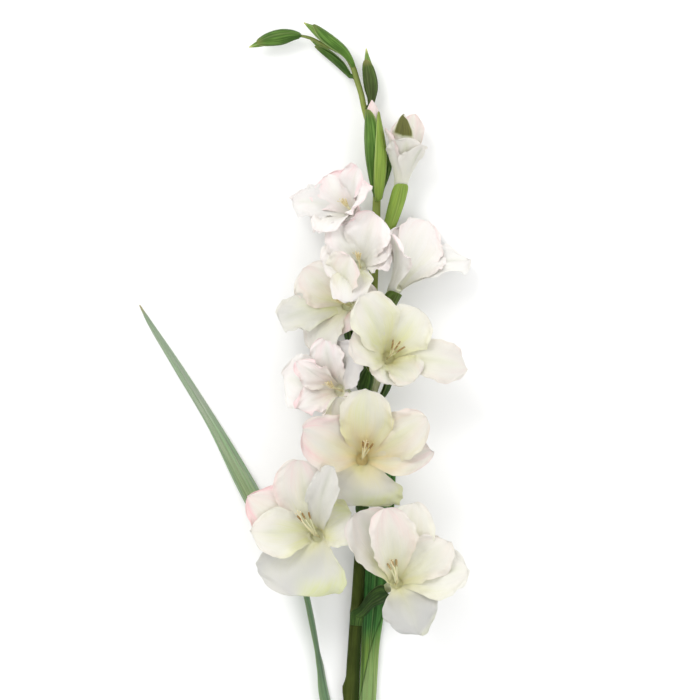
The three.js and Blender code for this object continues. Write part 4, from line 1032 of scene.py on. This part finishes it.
# ---------------------------------------------------------------- leaves
def leaf(name, rows, mat, seed, look):
    """tint: deep, pale edge and midrib, dry tip | painted light down one side, dark patches with painted shade in a
    crease, grey
    """
    skin = Skin()
    steps = 200
    line = catmull(rows, steps)
    m, n = len(line), 33
    v = np.linspace(-1, 1, n)
    s = np.linspace(0, 1, m)
    w1, w3 = Waves(seed, 1.0, 3.0, 4), Waves(seed + 2, 2, 5, 4)

    def fold(u, w):
        start, end = look["fold"]
        at = look["side"] * (1 - 2 * (start - u) / (start - end))
        off = look["side"] * (w - at)
        near = smooth(u, end - 0.02, end + 0.02) * (1 - smooth(u, start - 0.01, start + 0.01))
        return smooth(off, -0.03, 0.03), np.exp(-(off / 0.06) ** 2) * near

    P = np.zeros((m, n, 3))
    for i in range(m):
        t = unit(line[min(i + 1, m - 1), :3] - line[max(i - 1, 0), :3])
        flat = unit(np.cross([0, 0, 1], t))
        up = np.cross(t, flat)
        roll, h, kap = line[i, 4] * RAD, max(line[i, 3], 0.12), line[i, 5]
        sd, nn = flat * math.cos(roll) + up * math.sin(roll), -flat * math.sin(roll) + up * math.cos(roll)
        x = h * v
        if abs(kap) > 1e-5:
            lx, d = np.sin(kap * x) / kap, (1 - np.cos(kap * x)) / kap
        else:
            lx, d = x, 0 * x
        free = smooth(s[i], 0.30, 0.45)
        d = d - 0.7 * free * np.exp(-(v / 0.07) ** 2) + 0.10 * np.cos(v * math.pi * 7) * (1 - v ** 4) + 0.03 * np.cos(v * 90)
        d = d + free * (0.5 * np.abs(v) ** 2.5 * w3(s[i] * 3, 0.3 * np.sign(v)))
        if "fold" in look:
            d = d - 0.7 * fold(s[i], v)[1]
        P[i] = line[i, :3] + lx[:, None] * sd + d[:, None] * nn
    P[..., 2] = np.maximum(P[..., 2], 0.3)
    P[-1] = P[-1, n // 2]
    N = normals_of(P)
    U, V = np.meshgrid(s, v, indexing="ij")
    T = (0.50 + 0.5 * np.exp(-(V / 0.12) ** 2)) * (1 - 0.55 * np.abs(V) ** 4)
    length = np.concatenate([[0], np.cumsum(np.linalg.norm(np.diff(line[:, :3], axis=0), axis=1))])
    uv = np.stack([np.broadcast_to((length / 100.0)[:, None], U.shape), 0.5 + 0.5 * V], -1)
    # painted light: one side of the blade is lighter, as if lit from that side
    light = look["light"] * smooth(look["side"] * V, -0.2, 0.5) * (0.35 + 0.65 * np.clip(0.5 + 0.6 * w1(U * 1.5, V * 0.4), 0, 1))
    dark = np.clip(0.5 + 0.7 * Waves(seed + 7, 1.5, 4, 4)(U, V * 0.5), 0, 1) * look["dark"]
    grey = 0 * U
    if "fold" in look:                   # painted light on the half beyond a crease that crosses the blade, and painted shade in the crease
        side, crease = fold(U, V)
        light = light * (1 - 0.4 * side) * (0.7 + 0.3 * crease) + 0.90 * side * smooth(0.57 - U, 0.0, 0.12) + 0.75 * (1 - side) * smooth(0.55 - U, 0.0, 0.06)
        # painted shade: dark along the crease, none on the lit half
        dark = np.maximum(dark * (1 - 0.8 * side), 1.3 * crease)
        grey = grey + 0.28 * side * smooth(0.55 - U, 0.0, 0.12)
    if "grey" in look:                   # greyer towards the tip and along both edges
        grey = look["grey"] * np.maximum(0.45 + 0.55 * smooth(U, 0.66, 0.86), 0.9 * smooth(np.abs(V), 0.5, 0.9))
        light = light + 0.7 * smooth(U, 0.55, 0.68) * smooth(1 - np.abs(V), 0.05, 0.5)
    tint = np.stack([smooth(1 - U, 0.50, 0.9), 0.75 * smooth(np.abs(V), 0.88, 1.0) + 0.5 * np.exp(-(V / 0.05) ** 2), smooth(U, 0.95, 1.0), light, dark, grey], -1)
    skin.sheet(P, N, T, uv, np.clip(tint, 0, 1))
    return skin.object(name, name, "leaf", mat)


# ---------------------------------------------------------------- buds
def joined(rows):
    """The rows of a bud, led back to the nearest place on the stem."""
    rows = np.array(rows, float)
    near = STEM_LINE[np.argmin(np.linalg.norm(STEM_LINE[:, :3] - rows[0, :3], axis=1))]
    gap = np.linalg.norm(near[:3] - rows[0, :3])
    if gap > 14:
        return rows
    return np.vstack([[*(near[:3] * 0.75 + rows[0, :3] * 0.25), max(0.8, 0.7 * near[3])], rows])


def bud_core(b, seed, mat, look):
    skin = Skin()
    rows = catmull(joined(b["rows"]), 70)
    line, r = rows[:, :3], np.maximum(rows[:, 3], 0.2)
    _, E1, E2 = carried(line, [0, 0, 1])
    n = 36
    ang = np.arange(n) / n * 2 * math.pi
    A, S = np.meshgrid(ang, np.linspace(0, 1, len(line)))
    swirl = A + 1.6 * S + seed
    fold = 0.07 * (np.mod(swirl * 3 / (2 * math.pi), 1.0) - 0.5) * smooth(S, 0.2, 0.5)     # three rolled petals
    fine = 0.012 * np.cos(15 * A + 2 * S)
    R = r[:, None] * (1 + fold + fine)
    rings = line[:, None] + R[..., None] * (np.cos(A)[..., None] * E1[:, None] + np.sin(A)[..., None] * E2[:, None])
    uv = np.stack([S, A / (2 * math.pi)], -1)
    tint = np.zeros(rings.shape[:2] + (6,))
    if look == "tepal":
        tint[..., 0] = 0.9 * smooth(S, 0.62, 0.85) * (0.5 + 0.5 * smooth(np.cos(swirl * 3), -1, 1))
        tint[..., 4] = 0.8 * (1 - smooth(S, 0.5, 0.85))
        tint[..., 1] = 0.6 * (1 - smooth(S, 0.25, 0.6))
    else:
        tint[..., 0] = 0.5
        tint[..., 1] = 0.6 * smooth(np.cos(3 * swirl), 0.8, 1.0)
        tint[..., 2] = smooth(S, 0.9, 1.0)
    skin.tube(rings, uv, tint)
    return skin.object(b["name"], b["name"], look, mat)


def bud_bract(b, c, seed, mat):
    skin = Skin()
    line = catmull(b["rows"], 24 * 4)
    n0, n1 = round(c["from"] * 24) / 24, round(c["to"] * 24) / 24
    k = np.linspace(0, 1, 42)
    rows = at_fraction(line, n0 + (n1 - n0) * k)
    lift = c.get("lift", 0) * (1 - smooth(k * 1.6 - 0.6))
    r = np.maximum(rows[:, 3], 0.5) + 0.75 + lift + BRACT_T / 2 + c["puff"] * np.sin(np.pi * np.minimum(1, k * 1.1)) * 0.9
    rows = np.hstack([rows[:, :3], r[:, None]])
    lead = joined(b["rows"])
    if len(lead) > len(b["rows"]) and c.get("clasp", True):
        foot = np.vstack([lead[0][:4], lead[0][:4] * 0.45 + rows[0] * 0.55])
        foot[0, 3] = lead[0][3] + 0.5
        rows = np.vstack([catmull(np.vstack([foot, rows[0], rows[4]]), 18)[:12], rows[1:]])
        k = np.linspace(0, 1, len(rows))
    arc_shell(skin, rows[:, :3], [0, 0, 1], c["phi"] * RAD, bract_half(k, c["wide"], c.get("knee", 0.55), c.get("point", 1.8)), rows[:, 3], 0.6,
              bract_tint(c.get("dark", 0.6), 0.9, dry=c.get("dry", 0.3), bright=c.get("bright", 0.0), tan=c.get("tan", 0.0)), seed, keel=0.3, from_tip=True)
    return skin.object(c["name"], c["name"], "bract", mat)


# ---------------------------------------------------------------- materials
class Nodes:
    """Short names for wiring a material."""

    def __init__(self, name):
        self.m = bpy.data.materials.new(name)
        self.m.use_nodes = True
        self.t = self.m.node_tree
        self.t.nodes.clear()
        self.tint = self.split("tint")
        self.wash = self.split("wash")

    def new(self, kind):
        return self.t.nodes.new(kind)

    def put(self, value, socket):
        if hasattr(value, "is_linked"):
            self.t.links.new(value, socket)
        elif isinstance(value, tuple):
            socket.default_value = (*value, 1.0)
        else:
            socket.default_value = value

    def split(self, name):
        at, sep = self.new("ShaderNodeAttribute"), self.new("ShaderNodeSeparateXYZ")
        at.attribute_name = name
        self.put(at.outputs["Vector"], sep.inputs[0])
        return list(sep.outputs)

    def mix(self, fac, a, b):
        n = self.new("ShaderNodeMix")
        n.data_type = "RGBA"
        for value, i in ((fac, 0), (a, 6), (b, 7)):
            self.put(value, n.inputs[i])
        return n.outputs[2]

    def sum(self, a, b):
        return self.op("ADD", a, b)

    def mul(self, a, b):
        return self.op("MULTIPLY", a, b)

    def op(self, kind, a, b):
        n = self.new("ShaderNodeMath")
        n.operation = kind
        self.put(a, n.inputs[0])
        self.put(b, n.inputs[1])
        return n.outputs[0]

    def step(self, value, low, high):
        n = self.new("ShaderNodeMapRange")
        n.interpolation_type = "SMOOTHSTEP"
        self.put(value, n.inputs[0])
        n.inputs[1].default_value, n.inputs[2].default_value = low, high
        return n.outputs[0]

    def along(self, scale, detail=3.0, rough=0.55, twist=0.0):
        """Noise drawn out along the piece, from its UV map."""
        uv, mp, nz = self.new("ShaderNodeUVMap"), self.new("ShaderNodeMapping"), self.new("ShaderNodeTexNoise")
        uv.uv_map = "along"
        mp.inputs["Scale"].default_value = (*scale, 1.0)
        nz.inputs["Scale"].default_value = 1.0
        nz.inputs["Detail"].default_value = detail
        nz.inputs["Roughness"].default_value = rough
        nz.inputs["Distortion"].default_value = twist
        self.put(uv.outputs[0], mp.inputs[0])
        self.put(mp.outputs[0], nz.inputs["Vector"])
        return nz.outputs[0]

    def around(self, scale, detail=3.0):
        """Noise fixed to the object in space."""
        tc, nz = self.new("ShaderNodeTexCoord"), self.new("ShaderNodeTexNoise")
        nz.inputs["Scale"].default_value = scale
        nz.inputs["Detail"].default_value = detail
        self.put(tc.outputs["Object"], nz.inputs["Vector"])
        return nz.outputs[0]

    def finish(self, colour, rough, height, strength, through=0.0, through_colour=None, specular=0.35, sheen=0.0, distance=0.0004, coat=0.0):
        p, b, out = self.new("ShaderNodeBsdfPrincipled"), self.new("ShaderNodeBump"), self.new("ShaderNodeOutputMaterial")
        self.put(colour, p.inputs["Base Color"])
        self.put(rough, p.inputs["Roughness"])
        p.inputs["Specular IOR Level"].default_value = specular
        p.inputs["Sheen Weight"].default_value = sheen
        p.inputs["Sheen Roughness"].default_value = 0.6
        p.inputs["Coat Weight"].default_value = coat
        p.inputs["Coat Roughness"].default_value = 0.35
        b.inputs["Strength"].default_value = strength
        b.inputs["Distance"].default_value = distance
        self.put(height, b.inputs["Height"])
        self.put(b.outputs[0], p.inputs["Normal"])
        if through:
            tr, mx = self.new("ShaderNodeBsdfTranslucent"), self.new("ShaderNodeMixShader")
            self.put(colour if through_colour is None else through_colour, tr.inputs["Color"])
            self.put(b.outputs[0], tr.inputs["Normal"])
            mx.inputs[0].default_value = through
            self.put(p.outputs[0], mx.inputs[1])
            self.put(tr.outputs[0], mx.inputs[2])
            self.put(mx.outputs[0], out.inputs[0])
        else:
            self.put(p.outputs[0], out.inputs[0])
        return self.m


def tepal_material(name, light, shade, through):
    n = Nodes(name)
    veins, hairs, broad = n.along((1.8, 34.0), 3.0, 0.55, 0.15), n.along((3.5, 120.0), 2.0, 0.5), n.around(48.0, 3.0)
    pink, throat, grey = n.tint
    keel, wash, gold = n.wash
    base = n.mix(n.step(broad, 0.35, 0.7), light, shade)
    base = n.mix(n.mul(n.step(veins, 0.50, 0.70), 0.22), base, (0.84, 0.84, 0.72))
    c = n.mix(n.mul(wash, n.sum(0.55, n.mul(n.step(veins, 0.35, 0.65), 0.45))), base, (0.815, 0.835, 0.50))
    c = n.mix(n.mul(pink, n.sum(0.55, n.mul(n.step(veins, 0.35, 0.65), 0.45))), c, (0.93, 0.655, 0.68))
    # painted shade: the grey tint darkens the tepal towards a lilac grey
    c = n.mix(n.mul(grey, 0.86), c, (0.590, 0.590, 0.585))
    c = n.mix(n.mul(throat, 0.8), c, (0.90, 0.91, 0.52))
    c = n.mix(n.mul(n.step(throat, 0.75, 1.15), 0.3), c, (0.80, 0.80, 0.30))
    c = n.mix(n.mul(gold, 0.85), c, (0.96, 0.72, 0.30))
    c = n.mix(n.mul(keel, 0.85), c, (0.42, 0.50, 0.16))
    c = n.mix(n.mul(n.step(keel, 0.45, 0.95), 0.92), c, n.mix(n.step(veins, 0.4, 0.6), (0.105, 0.108, 0.012), (0.190, 0.190, 0.025)))
    c = n.mix(n.mul(n.step(hairs, 0.56, 0.72), 0.10), c, (0.70, 0.70, 0.55))
    rough = n.sum(0.44, n.mul(broad, 0.18))
    height = n.sum(n.sum(n.mul(veins, 1.0), n.mul(hairs, 0.35)), n.mul(n.around(260.0, 2.0), 0.3))
    return n.finish(c, rough, height, 0.38, through, n.mix(0.25, c, (1.0, 0.97, 0.86)), specular=0.28, sheen=0.15, distance=0.0006)


def green_material(name, deep, light, edge, scale, through, rough0, dry=(0.42, 0.33, 0.14)):
    """Leaves and bracts: parallel veins, a paler keel and edge, a drier tip."""
    n = Nodes(name)
    veins, fine_veins = n.along(scale, 3.0, 0.5), n.along((scale[0] * 2, scale[1] * 3.4), 2.0, 0.5)
    broad, fine = n.around(34.0, 4.0), n.around(420.0, 2.0)
    far, pale, dried = n.tint
    bright, dark, grey = n.wash
    c = n.mix(n.step(broad, 0.3, 0.72), deep, light)
    c = n.mix(n.mul(far, 0.6), c, tuple(0.66 * x for x in deep))
    # on the leaves this tint is painted light; on bracts it is their own yellow-green
    c = n.mix(n.mul(bright, 0.78), c, (0.345, 0.475, 0.085))
    # grey-green: the left leaf's greyer tip and edges, and part of the painted light on the lit half of the right leaf
    c = n.mix(n.mul(grey, 0.80), c, (0.470, 0.505, 0.450))
    c = n.mix(n.mul(n.step(veins, 0.50, 0.60), 0.40), c, tuple(min(1, 1.6 * x + 0.03) for x in light))
    c = n.mix(n.mul(n.step(veins, 0.47, 0.38), 0.35), c, tuple(0.55 * x for x in deep))
    c = n.mix(n.mul(n.step(fine_veins, 0.52, 0.66), 0.18), c, tuple(min(1, 1.3 * x + 0.03) for x in light))
    # near-black green from the dark tint: dark patches and a crease's painted shade on the leaves, a deep green partly
    # painted shade on the bracts
    c = n.mix(n.mul(dark, n.sum(0.72, n.mul(n.step(veins, 0.60, 0.44), 0.22))), c, (0.018, 0.042, 0.008))
    c = n.mix(n.mul(pale, 0.8), c, edge)
    c = n.mix(n.mul(dried, 0.8), c, dry)
    rough = n.sum(rough0, n.mul(fine, 0.16))
    height = n.sum(n.sum(n.step(veins, 0.40, 0.62), n.mul(fine_veins, 0.35)), n.mul(fine, 0.2))
    return n.finish(c, rough, height, 0.55, through, n.mix(0.3, c, (0.45, 0.65, 0.10)), specular=0.14, distance=0.0005)


def stem_material():
    n = Nodes("stem_green")
    streak, fine_streak = n.along((1.2, 22.0), 5.0, 0.6), n.along((2.5, 70.0), 2.0, 0.5)
    broad, fine = n.around(30.0, 4.0), n.around(700.0, 2.0)
    upper, joint, cut = n.tint
    brown_and_side_shade, dark = n.wash[0], n.wash[1]
    low = n.mix(n.step(broad, 0.3, 0.7), (0.026, 0.038, 0.006), (0.056, 0.078, 0.014))
    high = n.mix(n.step(broad, 0.3, 0.7), (0.250, 0.310, 0.072), (0.360, 0.430, 0.135))
    c = n.mix(upper, low, high)
    # dark brownish patches, partly painted shade on the side away from the key light
    c = n.mix(n.mul(brown_and_side_shade, n.sum(0.60, n.mul(upper, -0.35))), c, (0.030, 0.026, 0.007))
    # painted highlight: lighter streaks along the stem
    c = n.mix(n.mul(n.step(streak, 0.52, 0.68), 0.40), c, n.mix(upper, (0.105, 0.125, 0.026), (0.30, 0.34, 0.105)))
    c = n.mix(n.mul(n.step(streak, 0.44, 0.30), 0.55), c, n.mix(upper, (0.018, 0.020, 0.005), (0.120, 0.125, 0.035)))
    c = n.mix(n.mul(n.step(fine_streak, 0.55, 0.7), 0.20), c, n.mix(upper, (0.13, 0.15, 0.05), (0.34, 0.36, 0.16)))
    # painted shade down the side of the stem away from the key light
    c = n.mix(n.mul(dark, 0.80), c, n.mix(upper, (0.010, 0.024, 0.002), (0.235, 0.285, 0.065)))
    c = n.mix(n.mul(joint, 0.45), c, (0.22, 0.25, 0.09))
    cells, tc = n.new("ShaderNodeTexVoronoi"), n.new("ShaderNodeTexCoord")
    cells.inputs["Scale"].default_value = 1500.0
    n.put(tc.outputs["Object"], cells.inputs["Vector"])
    c = n.mix(cut, c, n.mix(n.step(cells.outputs["Distance"], 0.25, 0.6), (0.36, 0.42, 0.17), (0.66, 0.68, 0.42)))
    rough = n.sum(0.42, n.mul(fine, 0.2))
    height = n.sum(n.sum(streak, n.mul(fine_streak, 0.4)), n.mul(fine, 0.2))
    return n.finish(c, rough, height, 0.45, specular=0.05, distance=0.0005)


def bud_material():
    n = Nodes("bud_green")
    veins, broad = n.along((1.6, 30.0), 3.0, 0.5), n.around(90.0, 3.0)
    c = n.mix(n.step(broad, 0.3, 0.7), (0.075, 0.155, 0.022), (0.145, 0.250, 0.042))
    c = n.mix(n.mul(n.step(veins, 0.5, 0.64), 0.40), c, (0.31, 0.42, 0.13))
    c = n.mix(n.mul(n.tint[1], 0.6), c, (0.44, 0.54, 0.22))
    c = n.mix(n.mul(n.tint[2], 0.85), c, (0.60, 0.60, 0.22))
    return n.finish(c, 0.5, veins, 0.45, specular=0.22)


def stamen_material():
    n = Nodes("stamen")
    dust, grain = n.around(1400.0, 3.0), n.along((6.0, 6.0), 4.0, 0.6)
    fil = n.mix(grain, (0.86, 0.84, 0.62), (0.78, 0.76, 0.50))
    pale = n.mix(n.step(dust, 0.35, 0.65), (0.66, 0.55, 0.28), (0.80, 0.70, 0.42))
    ripe = n.mix(n.step(dust, 0.35, 0.65), (0.16, 0.085, 0.030), (0.46, 0.29, 0.10))
    c = n.mix(n.tint[0], fil, n.mix(n.tint[2], pale, ripe))
    c = n.mix(n.mul(n.tint[1], 0.7), c, (0.78, 0.66, 0.42))
    return n.finish(c, 0.6, dust, 0.5, specular=0.3, distance=0.0003)


def floor_material():
    n = Nodes("pale_table")
    c = n.mix(n.around(6.0, 2.0), (0.93, 0.93, 0.93), (0.95, 0.95, 0.95))
    return n.finish(c, 0.85, n.around(300.0, 2.0), 0.03, specular=0.1)


# ---------------------------------------------------------------- camera, light and floor
def stage():
    scene = bpy.context.scene
    scene.view_settings.view_transform = "Standard"
    scene.view_settings.look = "None"
    cam = bpy.data.cameras.new("camera")
    ob = bpy.data.objects.new("camera", cam)
    scene.collection.objects.link(ob)
    cam.type = "PERSP"
    cam.sensor_width = 36.0
    cam.lens = 36.0 * 3500 / 595
    cam.clip_end = 50
    ob.location = (VIEW[0] * MM, VIEW[1] * MM, 3.54)
    scene.camera = ob
    world = bpy.data.worlds.new("soft_room")
    scene.world = world
    world.use_nodes = True
    world.node_tree.nodes["Background"].inputs[0].default_value = (1.0, 1.0, 1.0, 1)
    world.node_tree.nodes["Background"].inputs[1].default_value = LIGHT["world"]

    def area(name, place, target, size, power, colour=(1, 1, 1)):
        d = bpy.data.lights.new(name, "AREA")
        d.shape = "DISK"
        d.size, d.energy, d.color = size, power, colour
        o = bpy.data.objects.new(name, d)
        scene.collection.objects.link(o)
        o.location = place
        import mathutils
        o.rotation_euler = (mathutils.Vector(target) - mathutils.Vector(place)).to_track_quat("-Z", "Y").to_euler()

    mid = (VIEW[0] * MM, VIEW[1] * MM, 0.03)
    area("key", (mid[0] - 1.1, mid[1] + 1.5, 2.1), mid, 1.3, LIGHT["key"], (1.0, 0.99, 0.97))
    area("fill", (mid[0] + 1.6, mid[1] - 0.4, 1.9), mid, 2.0, LIGHT["fill"], (0.97, 0.98, 1.0))
    mesh = bpy.data.meshes.new("table")
    mesh.from_pydata([(-4, -4, 0), (4, -4, 0), (4, 4, 0), (-4, 4, 0)], [], [(0, 1, 2, 3)])
    floor = bpy.data.objects.new("table", mesh)
    floor.location = (0, 0, -0.0004)
    mesh.materials.append(floor_material())
    scene.collection.objects.link(floor)


LIGHT = {"world": 1.04, "key": 25.0, "fill": 10.0}


def main():
    stage()
    petal = tepal_material("tepal_ivory", (0.90, 0.890, 0.850), (0.868, 0.861, 0.815), 0.38)
    # painted light: a whiter, lighter copy of the ivory tepal material, used on flowers 1, 2, 4 and 6 to lift the shade
    # they lie in
    petal_painted_light = tepal_material("tepal_painted_light", (0.950, 0.940, 0.925), (0.925, 0.916, 0.900), 0.28)
    leaf_green = green_material("leaf_green", (0.024, 0.120, 0.026), (0.064, 0.225, 0.048), (0.28, 0.42, 0.15), (1.4, 15.0), 0.10, 0.38)
    bract_green = green_material("bract_green", (0.052, 0.130, 0.018), (0.118, 0.235, 0.034), (0.46, 0.56, 0.22), (1.8, 14.0), 0.14, 0.42)
    bud_green, yellow = bud_material(), stamen_material()
    stem(stem_material())
    # light: painted light down one side of the blade; fold: a crease with painted shade in it and painted light beyond
    # it
    leaf("leaf_left", LEAVES["leaf_left"], leaf_green, 900, {"light": 0.60, "side": 1, "dark": 0.20, "grey": 1.0})
    leaf("leaf_right", LEAVES["leaf_right"], leaf_green, 910, {"light": 0.15, "side": -1, "dark": 0.60, "fold": (0.578, 0.41)})
    for key, f in FLORETS.items():
        perianth(f, key, LOOKS[key], f"flower_{key}_perianth", petal_painted_light if LOOKS[key].get("painted_light") else petal)
        if "stamen" in f:
            stamens(f, key, f"flower_{key}_stamens", yellow)
        for which in ("outer", "inner"):
            floret_bract(f, key, which, f"flower_{key}_{which}_bract", bract_green)
    for i, b in enumerate(BUDS):
        mat = {"tepal": petal, "bud": bud_green, "bract": bract_green}[b["look"]]
        bud_core(b, 40 + i, mat, b["look"])
        for j, c in enumerate(b["bracts"]):
            bud_bract(b, c, 60 + 5 * i + j, bract_green)


main()
